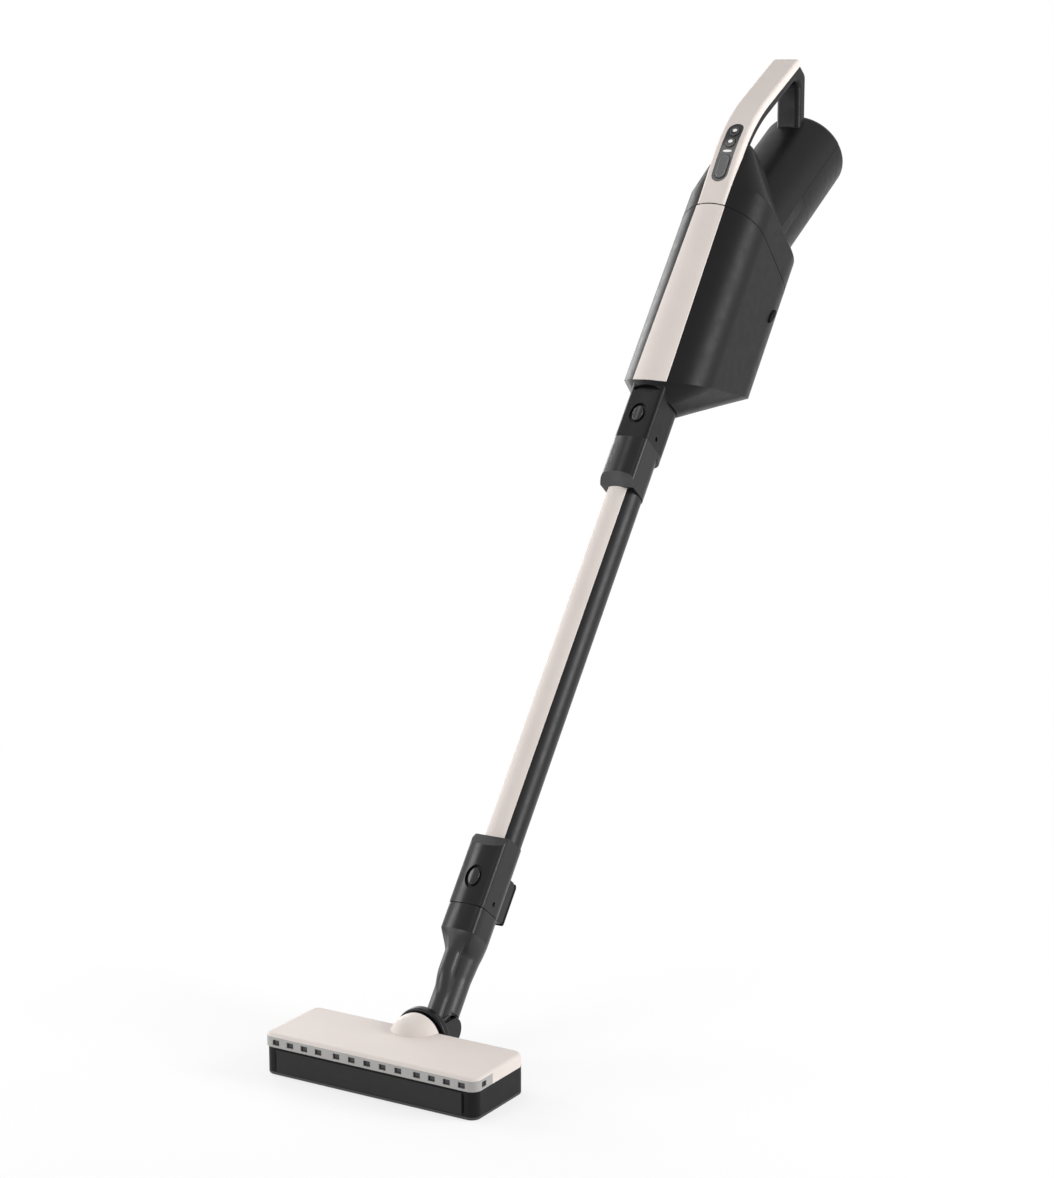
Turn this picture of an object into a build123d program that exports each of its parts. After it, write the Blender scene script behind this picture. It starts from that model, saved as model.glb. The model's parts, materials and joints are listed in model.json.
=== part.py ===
"""Cordless stick vacuum: floor head, jointed neck, wand, dust cup, main unit with battery and loop handle.

Millimetres, +Z up. The origin is on the floor under the middle of the head, X across the head,
Y from the head's front to its back. The stick leans back in the pose that it is used in.
"""
import math
import os

from build123d import *

os.makedirs("parts", exist_ok=True)

# Driving dimensions: pose
STICK_LEAN = 37.57
MOTOR_TILT = 21.6

# Driving dimensions: fits
RUN_FIT = 0.05
SEAT_FIT = 0.02
PART_GAP = 0.3
WALL = 2.5
OVERRUN = 1.0

# Driving dimensions: floor head shell
BASE_W = 218.0
BASE_D = 80.0
BASE_TOP = 26.0
BASE_CORNER = 9.0
SOLE_T = 3.0
SOLE_EDGE = 2.0
HEAD_FRONT = -BASE_D / 2
HEAD_BACK = BASE_D / 2
BAND_OUT = 1.0
BAND_H = 9.0
BAND_TOP = BASE_TOP + BAND_H
BAND_T = 4.0
BAND_BACK = 27.0
NOTCH_W = 7.0
NOTCH_H = 5.0
NOTCH_DEPTH = 2.2
NOTCH_MID_PITCH = 16.0
NOTCH_INSET = 13.0
NOTCH_SIDE_PITCH = 15.0
COVER_LIP = 3.0
COVER_TOP = BAND_TOP + COVER_LIP
COVER_EDGE = 4.0
COVER_INSET = 2.0
COVER_BACK = HEAD_BACK - COVER_INSET
FLAP_INSET = 13.0
FLAP_HALF = BASE_W / 2 - FLAP_INSET
FLAP_T = 2.0
FLAP_LIFT = 1.0
FLAP_LOW = SOLE_T + FLAP_LIFT
FLAP_HIGH = BASE_TOP - 2 * FLAP_LIFT
SCREW_INSET = 7.0
SCREW_X = BASE_W / 2 - SCREW_INSET
SCREW_Y = BASE_D / 2 - SCREW_INSET + 0.5
SCREW_R = 1.4
SCREW_HEAD_R = 2.8
BOSS_R = 3.6

# Driving dimensions: brush roll, its drive and the wheels
SLOT_INSET = 12.0
SLOT_HALF = BASE_W / 2 - SLOT_INSET
SLOT_LIP = 3.5
SLOT_FRONT = HEAD_FRONT + SLOT_LIP
SLOT_W = 31.0
SLOT_BACK = SLOT_FRONT + SLOT_W
ROLL_Y = SLOT_FRONT + SLOT_W / 2
ROLL_Z = 16.0
ROLL_CORE_R = 9.0
ROLL_BLADE_R = 14.3
ROLL_INSET = 15.0
ROLL_HALF = BASE_W / 2 - ROLL_INSET
ROLL_STUB_R = 3.0
ROLL_BLADES = 4
ROLL_TWIST = 80.0
ROLL_STEPS = 5
BLADE_T = 2.4
BLADE_ROOT = 1.0
WHEEL_INSET = 33.0
WHEEL_X = BASE_W / 2 - WHEEL_INSET
WHEEL_BACK = 10.5
WHEEL_Y = HEAD_BACK - WHEEL_BACK
WHEEL_R = 7.0
WHEEL_T = 8.0
WHEEL_EDGE = 0.8
AXLE_R = 1.6
EAR_T = 3.0
BUSH_R = 6.0
BUSH_L = 5.0
PULLEY_INSET = 10.5
PULLEY_X = BASE_W / 2 - PULLEY_INSET
PULLEY_T = 5.0
PULLEY_SPACE = 2.0
ROLL_PULLEY_R = 7.0
MOTOR_PULLEY_R = 4.0
PULLEY_SHAFT_R = 1.25
BELT_T = 1.2
BELT_INSET = 0.5
BRUSH_MOTOR_GAP = 4.0
BRUSH_MOTOR_AHEAD = 14.5
BRUSH_MOTOR_Y = WHEEL_Y - BRUSH_MOTOR_AHEAD
BRUSH_MOTOR_Z = 17.0
BRUSH_MOTOR_R = 9.0
BRUSH_MOTOR_L = 46.0
BRUSH_MOTOR_X = PULLEY_X - PULLEY_T / 2 - BRUSH_MOTOR_GAP - BRUSH_MOTOR_L / 2

# Driving dimensions: swivel and neck
PIVOT_REACH = 30.0
NECK_PIVOT_Y = HEAD_BACK + PIVOT_REACH
NECK_PIVOT_Z = 28.0
DOME_R = 23.9
DOME_INSET = 6.0
DOME_Y = HEAD_BACK - DOME_INSET
SWIVEL_GAP = 1.6
SWIVEL_FRONT = HEAD_BACK + SWIVEL_GAP
SWIVEL_T = 8.4
SWIVEL_BACK = SWIVEL_FRONT + SWIVEL_T
SWIVEL_R = 26.3
SWIVEL_EDGE = 2.0
SPIGOT_R = 15.0
SPIGOT_BORE = 11.0
BEARING_R = 19.0
BEARING_L = 13.0
BEARING_FRONT = HEAD_BACK - BEARING_L
CLIP_T = 3.0
CLIP_R = 17.5
SPIGOT_END = 3.2
SPIGOT_FRONT = BEARING_FRONT - PART_GAP - CLIP_T - SPIGOT_END
BARREL_HALF = 13.0
ARM_T = 4.2
ARM_IN = BARREL_HALF + PART_GAP
ARM_OUT = ARM_IN + ARM_T
ARM_END_R = 11.5
ARM_SPACE = 2.2
PIN_R = 3.0
PIN_SKIN = 1.2
PIN_END = ARM_OUT - PIN_SKIN
BARREL_R = 14.0
NECK_R = 14.8
NECK_BORE = 11.0
RIDGE_HALF = 8.0
RIDGE_FRONT = 27.5
RIDGE_LOW = 27.5
RIDGE_LEAN = 3.9

# Driving dimensions: connectors and wand, as stations along the stick
LOW_SEAM = 109.0
COLLAR_L = 25.0
COLLAR_LOW = LOW_SEAM - COLLAR_L
COLLAR_TAPER = 16.0
COLLAR_TIP = COLLAR_LOW - COLLAR_TAPER
FLARE_L = 44.0
FLARE_LAP = 6.0
FLARE_HIGH = COLLAR_LOW + FLARE_LAP
FLARE_LOW = FLARE_HIGH - FLARE_L
SOCKET_CHAMFER = 12.0
LOW_SOCKET_L = 69.0
LOW_SOCKET_TOP = LOW_SEAM + LOW_SOCKET_L
WAND_SHOWN = 368.0
UP_COLLAR_LOW = LOW_SOCKET_TOP + WAND_SHOWN
UP_COLLAR_L = 51.0
UP_SEAM = UP_COLLAR_LOW + UP_COLLAR_L
UP_BACK_L = 6.0
UP_BACK_LOW = UP_SEAM - UP_BACK_L
UP_DEEP = 6.0
JOINT_HALF = 18.2
JOINT_SIDE_FRONT = 26.0
JOINT_FRONT = 28.3
JOINT_CORNER = 5.0
PLUG_R = 15.6
PLUG_BORE = 12.5
PLUG_L = 42.0
TUBE_R = 17.4
TUBE_WALL = 1.6
TUBE_SEAT = 20.0
TUBE_STOP = 10.0
TUBE_LOW = LOW_SOCKET_TOP - SOCKET_CHAMFER - TUBE_SEAT
TUBE_HIGH = UP_SEAM - TUBE_STOP
STRIP_R = 19.7
STRIP_HALF_ANGLE = 31.5
STRIP_SEAT = 4.0
BUTTON_HALF_W = 5.6
BUTTON_HALF_L = 8.3
BUTTON_RISE = 26.0
BUTTON_PRESS = 2.5
BUTTON_DEEP = 9.5
BUTTON_FLOOR = JOINT_FRONT - BUTTON_DEEP
BUTTON_PROUD = 0.6
BUTTON_EDGE = 1.2
BUTTON_WELL = 3.0
BUTTON_WELL_DEEP = 2.5
SPRING_R = 3.0
SPRING_BORE = 1.8
SPRING_SEAT = 1.2
SPRING_L = SPRING_SEAT + BUTTON_PRESS + PART_GAP
HOOK_RISE = 2.0
HOOK_L = 41.0
HOOK_LOW = LOW_SEAM + HOOK_RISE
HOOK_HIGH = HOOK_LOW + HOOK_L
HOOK_OUT = 10.0
HOOK_BACK = JOINT_HALF + HOOK_OUT
HOOK_EDGE = 5.0
HOOK_PAD = 4.0
HOOK_HALF = 10.2
DETENT_R = 2.3
DETENT_DEEP = 2.0
DETENT_RISE = 9.0

# Driving dimensions: dust cup
BODY_R = 46.0
BODY_FRONT_C = 15.0
BODY_LENGTH = 59.0
BODY_BACK_C = BODY_FRONT_C + BODY_LENGTH
INLET_L = 63.0
CUP_FRONT_S = UP_SEAM + INLET_L
CUP_RIM_TAN = 0.476
CUP_H = 206.0
SEAM_S = CUP_FRONT_S + CUP_H
SEAM_TAN = 0.16
SEAM_GAP = 0.5
SEAL_INSET = 0.6
STRIP_LOW_HALF = 18.4
STRIP_TOP_HALF = 15.6
STRIP_PROUD = 0.8
STRIP_DEEP = 1.6
CONE_DROP = 15.0
CONE_S = CUP_FRONT_S - CONE_DROP
CONE_TAN = 0.06
CONE_HALF = JOINT_HALF + 1.8
CONE_FRONT = -JOINT_FRONT + 2.5
CONE_BACK = UP_DEEP + JOINT_HALF + 0.8
SCOOP_DROP = 9.0
SCOOP_S = CUP_FRONT_S - SCOOP_DROP
SCOOP_HALF = 14.5
SCOOP_H = 7.5
SCOOP_DEPTH = 3.5
LATCH_DROP = 60.0
LATCH_S = SEAM_S - LATCH_DROP
LATCH_B = BODY_BACK_C + 4.0
LATCH_HALF_W = 3.2
LATCH_HALF_L = 9.0
LATCH_LEAN = 15.0
LATCH_PROUD = 1.6
LATCH_PRESS = 1.5
LATCH_ROOM = 1.0
TRAY_DROP = 2.0
TRAY_T = 5.0
FILTER_B = (BODY_FRONT_C + BODY_BACK_C) / 2 + 8.0
FILTER_R = 36.0
FILTER_DROP = 20.0
FILTER_H = 76.0
FILTER_TOP = SEAM_S - FILTER_DROP
FILTER_LOW = FILTER_TOP - FILTER_H
FILTER_TAPER = 10.0
PLEATS = 24
PLEAT_R = 21.0
PLEAT_DEEP = 4.0
PLEAT_T = 3.0
PLEAT_H = 60.0

# Driving dimensions: main unit
SHOULDER_RISE = 23.0
SHOULDER_S = SEAM_S + SHOULDER_RISE
SHOULDER_TAN = 0.10
ROOT_RISE = 82.0
ROOT_S = SEAM_S + ROOT_RISE
ROOT_HALF = 15.0
ROOT_FRONT = -30.0
ROOT_BACK = 20.0
ROOT_EDGE = 6.0
MOTOR_RISE = 52.0
MOTOR_S = SEAM_S + MOTOR_RISE
MOTOR_B = 66.0
MOTOR_R = 45.3
MOTOR_LOW = -52.0
MOTOR_END = 128.0
MOTOR_EDGE = 9.0
PACK_FACE = -12.0
PACK_LOW = 21.0
PACK_INSET = 0.8
PACK_END = MOTOR_END - PACK_INSET
PACK_EDGE = 8.5
CELL_R = 9.2
CELL_L = 65.0
CELL_SPACE = 1.0
FAN_R = 32.0
FAN_LOW = -46.0
FAN_T = 10.0
FAN_DISC = 2.0
FAN_BLADES = 9
FAN_BLADE_T = 1.2
FAN_BLADE_LEAN = 25.0
CAN_R = 27.0
CAN_LOW = -33.0
CAN_HIGH = 15.0
MOUNT_LOW = -8.0
MOUNT_T = 8.0
MOUNT_HOLES = 8
MOUNT_HOLE_R = 4.0
SHAFT_R = 2.5
GRILLE_T = 2.5
GRILLE_SLOTS = 9
GRILLE_SLOT_W = 4.0
GRILLE_PITCH = 8.0
GRILLE_SIDE = 12.0
VENT_SLOTS = 7
VENT_W = 2.4
VENT_PITCH = 7.0
VENT_L = 22.0
VENT_H = -26.0
BOARD_H = -22.0
BOARD_T = 1.6
BOARD_HIGH = 108.0
TERMINAL_X = 7.0
TERMINAL_H = 33.0
TERMINAL_L = 9.0
TERMINAL_T = 1.2
TERMINAL_W = 8.0
PACK_KEY_HALF = 9.0
PACK_KEY_DROP = 10.0
PACK_KEY_L = 11.0
PACK_KEY_HIGH = PACK_END - PACK_KEY_DROP
PACK_KEY_LOW = PACK_KEY_HIGH - PACK_KEY_L
PACK_KEY_DEEP = 6.0
PACK_KEY_PROUD = 0.5

# Driving dimensions: handle and its keys
HANDLE_R = 190.0
HANDLE_FRONT = -34.0
HANDLE_C_B = HANDLE_FRONT + HANDLE_R
HANDLE_RISE = 64.0
HANDLE_C_S = SEAM_S + HANDLE_RISE
HANDLE_START_B = BODY_FRONT_C - BODY_R
HANDLE_BEND = 23.5
HANDLE_TOP_RISE = 216.0
HANDLE_TOP = SEAM_S + HANDLE_TOP_RISE
HANDLE_HALF = 15.2
HANDLE_COVER_T = 8.0
HANDLE_EDGE = 3.5
HANDLE_TIP = 6.0
GRIP_T = 11.0
GRIP_HALF = 13.6
GRIP_EDGE = 5.5
LOOP_CORNER = 8.0
POST_T = 17.0
POST_BACK = 41.8
POST_CORNER = 10.0
POST_EDGE = 6.0
PANEL_RISE = 26.0
PANEL_L = 72.0
PANEL_LOW = SEAM_S + PANEL_RISE
PANEL_HIGH = PANEL_LOW + PANEL_L
PANEL_HALF = 8.8
PANEL_SUNK = 0.6
PANEL_T = 2.0
KEY_T = 3.0
KEY_PROUD = 0.3
KEY_PRESS = 1.0
KEY_GAP = 0.3
POWER_RISE = 4.0
POWER_L = 28.0
POWER_HALF = 6.2
MODE_RISE = 41.0
MODE_L = 11.6
MODE_HALF = 5.2
MODE_PITCH = 14.4
KEYS = {
    "power_key": (PANEL_LOW + POWER_RISE, POWER_L, POWER_HALF),
    "low_mode_key": (PANEL_LOW + MODE_RISE, MODE_L, MODE_HALF),
    "high_mode_key": (PANEL_LOW + MODE_RISE + MODE_PITCH, MODE_L, MODE_HALF),
}

STICK = Location((0, NECK_PIVOT_Y, NECK_PIVOT_Z), (-STICK_LEAN, 0, 0))
MOTOR = Location((0, MOTOR_B, MOTOR_S), (-MOTOR_TILT, 0, 0))


def save(name, *solids):
    """Write one named piece, or a group of alike pieces."""
    shape = solids[0] if len(solids) == 1 else Compound(list(solids))
    export_step(shape, f"parts/{name}.step")


def save_stick(name, *solids):
    """Write a piece that was drawn along the upright stick, set at the stick's lean."""
    save(name, *[STICK * solid for solid in solids])


def rod_x(radius, length, x=0.0, y=0.0, z=0.0):
    """A round bar along X, centred at the given point."""
    return Pos(x, y, z) * Rot(0, 90, 0) * Cylinder(radius, length)


def rod_y(radius, front, back, x=0.0, z=0.0):
    """A round bar along Y between two stations."""
    return Pos(x, (front + back) / 2, z) * Rot(90, 0, 0) * Cylinder(radius, back - front)


def rod_s(radius, low, high, y=0.0):
    """A round bar along the stick between two stations."""
    return Pos(0, y, (low + high) / 2) * Cylinder(radius, high - low)


def block(x0, x1, y0, y1, z0, z1):
    """A box given by its limits."""
    centre = ((x0 + x1) / 2, (y0 + y1) / 2, (z0 + z1) / 2)
    return Pos(*centre) * Box(x1 - x0, y1 - y0, z1 - z0)


def slab(width, depth, corner, low, high):
    """A flat block with rounded upright corners, centred on the head."""
    return Pos(0, 0, low) * extrude(RectangleRounded(width, depth, corner), high - low)


def tilted(front_b, front_s, slope):
    """A plane across the stick that falls or rises towards the back with the given slope."""
    return Plane(origin=(0, front_b, front_s), x_dir=(1, 0, 0), z_dir=(0, -slope, 1))


def stadium(radius):
    """Section of the body: two round ends joined by flat sides."""
    front = BODY_FRONT_C
    back = BODY_BACK_C
    outline = Curve() + [
        ThreePointArc((-radius, front), (0, front - radius), (radius, front)),
        Line((radius, front), (radius, back)),
        ThreePointArc((radius, back), (0, back + radius), (-radius, back)),
        Line((-radius, back), (-radius, front)),
    ]
    return make_face(outline)


def oval(half, front, back):
    """A narrow section with round ends, from its front to its back station."""
    outline = Curve() + [
        ThreePointArc((-half, front + half), (0, front), (half, front + half)),
        Line((half, front + half), (half, back - half)),
        ThreePointArc((half, back - half), (0, back), (-half, back - half)),
        Line((-half, back - half), (-half, front + half)),
    ]
    return make_face(outline)


def joint_section(inset=0.0, deep=0.0):
    """Section of a wand connector: round back, flat sides and a convex front."""
    half = JOINT_HALF - inset
    side = -(JOINT_SIDE_FRONT - inset)
    outline = Curve() + [
        ThreePointArc((half, deep), (0, deep + half), (-half, deep)),
        Line((-half, deep), (-half, side)),
        ThreePointArc((-half, side), (0, -(JOINT_FRONT - inset)), (half, side)),
        Line((half, side), (half, deep)),
    ]
    face = make_face(outline)
    return fillet(face.vertices().sort_by(Axis.Y)[:2], JOINT_CORNER)


def joint_block(low, high, deep=0.0):
    """A length of the connector section."""
    return Pos(0, 0, low) * extrude(joint_section(deep=deep), high - low)


def front_slant(full, end, end_b):
    """The plane that cuts a connector's front back, from its full section to an end station."""
    return tilted(-JOINT_FRONT, full, (end - full) / (JOINT_FRONT - end_b))


def button_prism(half_w, half_l, station, front, back):
    """An oval prism that runs front to back through the stick at one station."""
    face = Plane.XZ.offset(0) * Pos(0, station) * Ellipse(half_w, half_l)
    return extrude(Pos(0, back, 0) * face, back - front)


# Floor head

def make_base():
    body = slab(BASE_W, BASE_D, BASE_CORNER, SOLE_T, BASE_TOP)
    body -= slab(BASE_W - 2 * WALL, BASE_D - 2 * WALL, BASE_CORNER - WALL, SOLE_T, BASE_TOP)
    partition_y = (SLOT_BACK + BRUSH_MOTOR_Y - BRUSH_MOTOR_R) / 2
    inner_half = BASE_W / 2 - WALL
    partition = block(-inner_half, inner_half, partition_y, partition_y + WALL, SOLE_T, BASE_TOP)
    belt_gap = PULLEY_T / 2 + PULLEY_SPACE
    partition -= block(PULLEY_X - belt_gap, PULLEY_X + belt_gap, partition_y, partition_y + WALL,
                       SOLE_T + WALL, BASE_TOP)
    duct_half = SPIGOT_BORE
    partition -= block(-duct_half, duct_half, partition_y, partition_y + WALL, SOLE_T + WALL, BASE_TOP - WALL)
    body += partition
    for side in (-1, 1):
        wall_x = side * (BASE_W / 2 - WALL - BUSH_L / 2)
        body += block(wall_x - BUSH_L / 2, wall_x + BUSH_L / 2, ROLL_Y - BUSH_R - WALL,
                      ROLL_Y + BUSH_R + WALL, SOLE_T, ROLL_Z + BUSH_R + WALL)
        for back in (-1, 1):
            body += Pos(side * SCREW_X, back * SCREW_Y, (SOLE_T + BASE_TOP) / 2) * Cylinder(
                BOSS_R, BASE_TOP - SOLE_T)
    body += rod_y(BEARING_R + WALL, BEARING_FRONT, HEAD_BACK, z=NECK_PIVOT_Z)
    body += block(-BEARING_R - WALL, BEARING_R + WALL, BEARING_FRONT, HEAD_BACK, SOLE_T, NECK_PIVOT_Z)
    body -= block(-BASE_W, BASE_W, -BASE_D, BASE_D, -BASE_W, SOLE_T)
    motor_side = BRUSH_MOTOR_X + BRUSH_MOTOR_L / 2
    for rib_x in (BRUSH_MOTOR_X - BRUSH_MOTOR_L / 2 + WALL, motor_side - WALL):
        rib = block(rib_x - WALL / 2, rib_x + WALL / 2, partition_y + WALL, HEAD_BACK - WALL,
                    SOLE_T, BRUSH_MOTOR_Z)
        body += rib
    body -= rod_x(BRUSH_MOTOR_R + SEAT_FIT, BRUSH_MOTOR_L, BRUSH_MOTOR_X, BRUSH_MOTOR_Y, BRUSH_MOTOR_Z)
    body -= rod_y(BEARING_R + SEAT_FIT, BEARING_FRONT, HEAD_BACK, z=NECK_PIVOT_Z)
    body -= rod_x(BUSH_R + SEAT_FIT, 2 * inner_half, 0, ROLL_Y, ROLL_Z)
    for side in (-1, 1):
        for back in (-1, 1):
            body -= Pos(side * SCREW_X, back * SCREW_Y, BASE_TOP / 2) * Cylinder(SCREW_R, BASE_TOP - SOLE_T)
    body -= block(-FLAP_HALF, FLAP_HALF, HEAD_FRONT, HEAD_FRONT + FLAP_T / 2, FLAP_LOW, FLAP_HIGH)
    return body


def cover_block(low, high):
    """The outline of the head above its base."""
    back = COVER_BACK
    front = HEAD_FRONT - BAND_OUT
    depth = back - front
    outline = RectangleRounded(BASE_W + 2 * BAND_OUT, depth, BASE_CORNER)
    return Pos(0, (back + front) / 2, low) * extrude(outline, high - low)


def make_cover():
    body = cover_block(BASE_TOP, COVER_TOP)
    body = fillet(body.faces().sort_by(Axis.Z)[-1].edges(), COVER_EDGE)
    dome = Pos(0, DOME_Y, NECK_PIVOT_Z) * Sphere(DOME_R)
    dome -= block(-BASE_W, BASE_W, -BASE_D, BASE_D, -BASE_W, BASE_TOP)
    dome -= block(-BASE_W, BASE_W, COVER_BACK, BASE_D, -BASE_W, BASE_W)
    body += dome
    hollow_w = BASE_W - 2 * WALL
    hollow = block(-hollow_w / 2, hollow_w / 2, HEAD_FRONT + BAND_T, COVER_BACK - WALL,
                   BASE_TOP, COVER_TOP - WALL)
    body -= hollow
    body -= Pos(0, DOME_Y, NECK_PIVOT_Z) * Sphere(DOME_R - WALL)
    body -= rod_y(BEARING_R + WALL + PART_GAP, BEARING_FRONT - PART_GAP, BASE_D, z=NECK_PIVOT_Z)
    body -= make_band(PART_GAP / 3)
    return body


def make_band(gap=0.0):
    """The bumper band round the front and the front ends of the head."""
    front = HEAD_FRONT - BAND_OUT
    back = front + BAND_BACK + gap
    body = cover_block(BASE_TOP, BAND_TOP + gap)
    inner_w = BASE_W + 2 * BAND_OUT - 2 * (BAND_T + gap)
    inner = RectangleRounded(inner_w, COVER_BACK - front, BASE_CORNER - BAND_T)
    body -= Pos(0, (COVER_BACK + front) / 2 + BAND_T + gap, 0) * extrude(inner, COVER_TOP)
    body -= block(-BASE_W, BASE_W, back, BASE_D, 0, COVER_TOP)
    return body


def make_bumper():
    body = make_band()
    front = HEAD_FRONT - BAND_OUT
    mid_z = (BASE_TOP + BAND_TOP) / 2
    stations = [step * NOTCH_MID_PITCH for step in (-2, -1, 0, 1, 2)]
    for side in (-1, 1):
        stations += [side * (BASE_W / 2 - NOTCH_INSET - step * NOTCH_SIDE_PITCH) for step in range(4)]
        outer = side * (BASE_W / 2 + BAND_OUT)
        notch_y = front + BAND_BACK / 2
        body -= Pos(outer, notch_y, mid_z) * Box(2 * NOTCH_DEPTH, NOTCH_W, NOTCH_H)
    for x in stations:
        body -= Pos(x, front, mid_z) * Box(NOTCH_W, 2 * NOTCH_DEPTH, NOTCH_H)
    return body


def make_flap():
    return block(-FLAP_HALF, FLAP_HALF, HEAD_FRONT - FLAP_T / 2, HEAD_FRONT + FLAP_T / 2, FLAP_LOW, FLAP_HIGH)


def make_sole():
    body = slab(BASE_W, BASE_D, BASE_CORNER, 0, SOLE_T)
    body = fillet(body.faces().sort_by(Axis.Z)[0].edges(), SOLE_EDGE)
    body -= block(-SLOT_HALF, SLOT_HALF, SLOT_FRONT, SLOT_BACK, 0, SOLE_T)
    for side in (-1, 1):
        x = side * WHEEL_X
        half = WHEEL_T / 2 + PART_GAP
        for ear in (-1, 1):
            ear_x = x + ear * (half + EAR_T / 2)
            body += block(ear_x - EAR_T / 2, ear_x + EAR_T / 2, WHEEL_Y - WHEEL_R, WHEEL_Y + WHEEL_R,
                          SOLE_T, WHEEL_R + AXLE_R + WALL)
        body -= block(x - half, x + half, WHEEL_Y - WHEEL_R - PART_GAP, WHEEL_Y + WHEEL_R + PART_GAP, 0, SOLE_T)
        body -= rod_x(AXLE_R, WHEEL_T + 2 * EAR_T + OVERRUN, x, WHEEL_Y, WHEEL_R)
        for back in (-1, 1):
            body -= Pos(side * SCREW_X, back * SCREW_Y, SOLE_T / 2) * Cylinder(SCREW_R + SEAT_FIT, SOLE_T)
            body -= Pos(side * SCREW_X, back * SCREW_Y, SOLE_T / 4) * Cylinder(SCREW_HEAD_R + SEAT_FIT, SOLE_T / 2)
    return body


def make_screw(x, y):
    length = BASE_TOP - SOLE_T - WALL
    body = Pos(x, y, SOLE_T / 2 + length / 2) * Cylinder(SCREW_R, length)
    head_t = SOLE_T / 2 - PART_GAP
    body += Pos(x, y, PART_GAP + head_t / 2) * Cylinder(SCREW_HEAD_R, head_t)
    return body


def make_roll():
    stub_end = BASE_W / 2 - WALL - PART_GAP
    body = rod_x(ROLL_CORE_R, 2 * ROLL_HALF)
    body += rod_x(ROLL_STUB_R, 2 * stub_end)
    body += rod_x(ROLL_PULLEY_R, PULLEY_T, PULLEY_X)
    root = ROLL_CORE_R - BLADE_ROOT
    for blade in range(ROLL_BLADES):
        sections = []
        for step in range(ROLL_STEPS + 1):
            turn = blade * 360 / ROLL_BLADES + step * ROLL_TWIST / ROLL_STEPS
            x = -ROLL_HALF + step * 2 * ROLL_HALF / ROLL_STEPS
            face = Pos((root + ROLL_BLADE_R) / 2, 0) * Rectangle(ROLL_BLADE_R - root, BLADE_T)
            sections.append(Pos(x, 0, 0) * Rot(0, 90, 0) * Rot(0, 0, turn) * face)
        body += loft(sections, ruled=True)
    return Pos(0, ROLL_Y, ROLL_Z) * body


def make_bush(side):
    x = side * (BASE_W / 2 - WALL - BUSH_L / 2)
    return rod_x(BUSH_R, BUSH_L, x, ROLL_Y, ROLL_Z) - rod_x(ROLL_STUB_R + RUN_FIT, BUSH_L, x, ROLL_Y, ROLL_Z)


def make_brush_motor():
    body = rod_x(BRUSH_MOTOR_R, BRUSH_MOTOR_L, BRUSH_MOTOR_X, BRUSH_MOTOR_Y, BRUSH_MOTOR_Z)
    return body - motor_shaft_bar(RUN_FIT)


def motor_shaft_bar(extra=0.0):
    low = BRUSH_MOTOR_X
    high = PULLEY_X + PULLEY_T / 2
    return rod_x(PULLEY_SHAFT_R + extra, high - low, (low + high) / 2, BRUSH_MOTOR_Y, BRUSH_MOTOR_Z)


def make_motor_pulley():
    return motor_shaft_bar() + rod_x(MOTOR_PULLEY_R, PULLEY_T, PULLEY_X, BRUSH_MOTOR_Y, BRUSH_MOTOR_Z)


def belt_loop(roll_r, pulley_r, width):
    """A solid of the open belt's outline: two discs and the straight runs between them."""
    span = math.hypot(BRUSH_MOTOR_Y - ROLL_Y, BRUSH_MOTOR_Z - ROLL_Z)
    lean = math.asin((roll_r - pulley_r) / span)
    run = Polygon(
        (roll_r * math.sin(lean), -roll_r * math.cos(lean)),
        (span + pulley_r * math.sin(lean), -pulley_r * math.cos(lean)),
        (span + pulley_r * math.sin(lean), pulley_r * math.cos(lean)),
        (roll_r * math.sin(lean), roll_r * math.cos(lean)),
        align=None,
    )
    face = Circle(roll_r) + Pos(span, 0) * Circle(pulley_r) + run
    rise = math.degrees(math.atan2(BRUSH_MOTOR_Z - ROLL_Z, BRUSH_MOTOR_Y - ROLL_Y))
    return Pos(PULLEY_X - width / 2, ROLL_Y, ROLL_Z) * extrude(Plane.YZ * Rot(0, 0, rise) * face, width)


def make_belt():
    width = PULLEY_T - 2 * BELT_INSET
    roll_r = ROLL_PULLEY_R + PART_GAP
    motor_r = MOTOR_PULLEY_R + PART_GAP
    return belt_loop(roll_r + BELT_T, motor_r + BELT_T, width) - belt_loop(roll_r, motor_r, width)


def make_wheel(side):
    x = side * WHEEL_X
    body = rod_x(WHEEL_R, WHEEL_T, x, WHEEL_Y, WHEEL_R) - rod_x(AXLE_R + RUN_FIT, WHEEL_T, x, WHEEL_Y, WHEEL_R)
    return chamfer(body.edges().filter_by(GeomType.CIRCLE).group_by(SortBy.RADIUS)[-1], WHEEL_EDGE)


def make_axle(side):
    length = WHEEL_T + 2 * PART_GAP + 2 * EAR_T
    return rod_x(AXLE_R, length, side * WHEEL_X, WHEEL_Y, WHEEL_R)


# Swivel joint behind the head

def make_bearing():
    outer = rod_y(BEARING_R, BEARING_FRONT, HEAD_BACK, z=NECK_PIVOT_Z)
    return outer - rod_y(SPIGOT_R + RUN_FIT, BEARING_FRONT, HEAD_BACK, z=NECK_PIVOT_Z)


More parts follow.
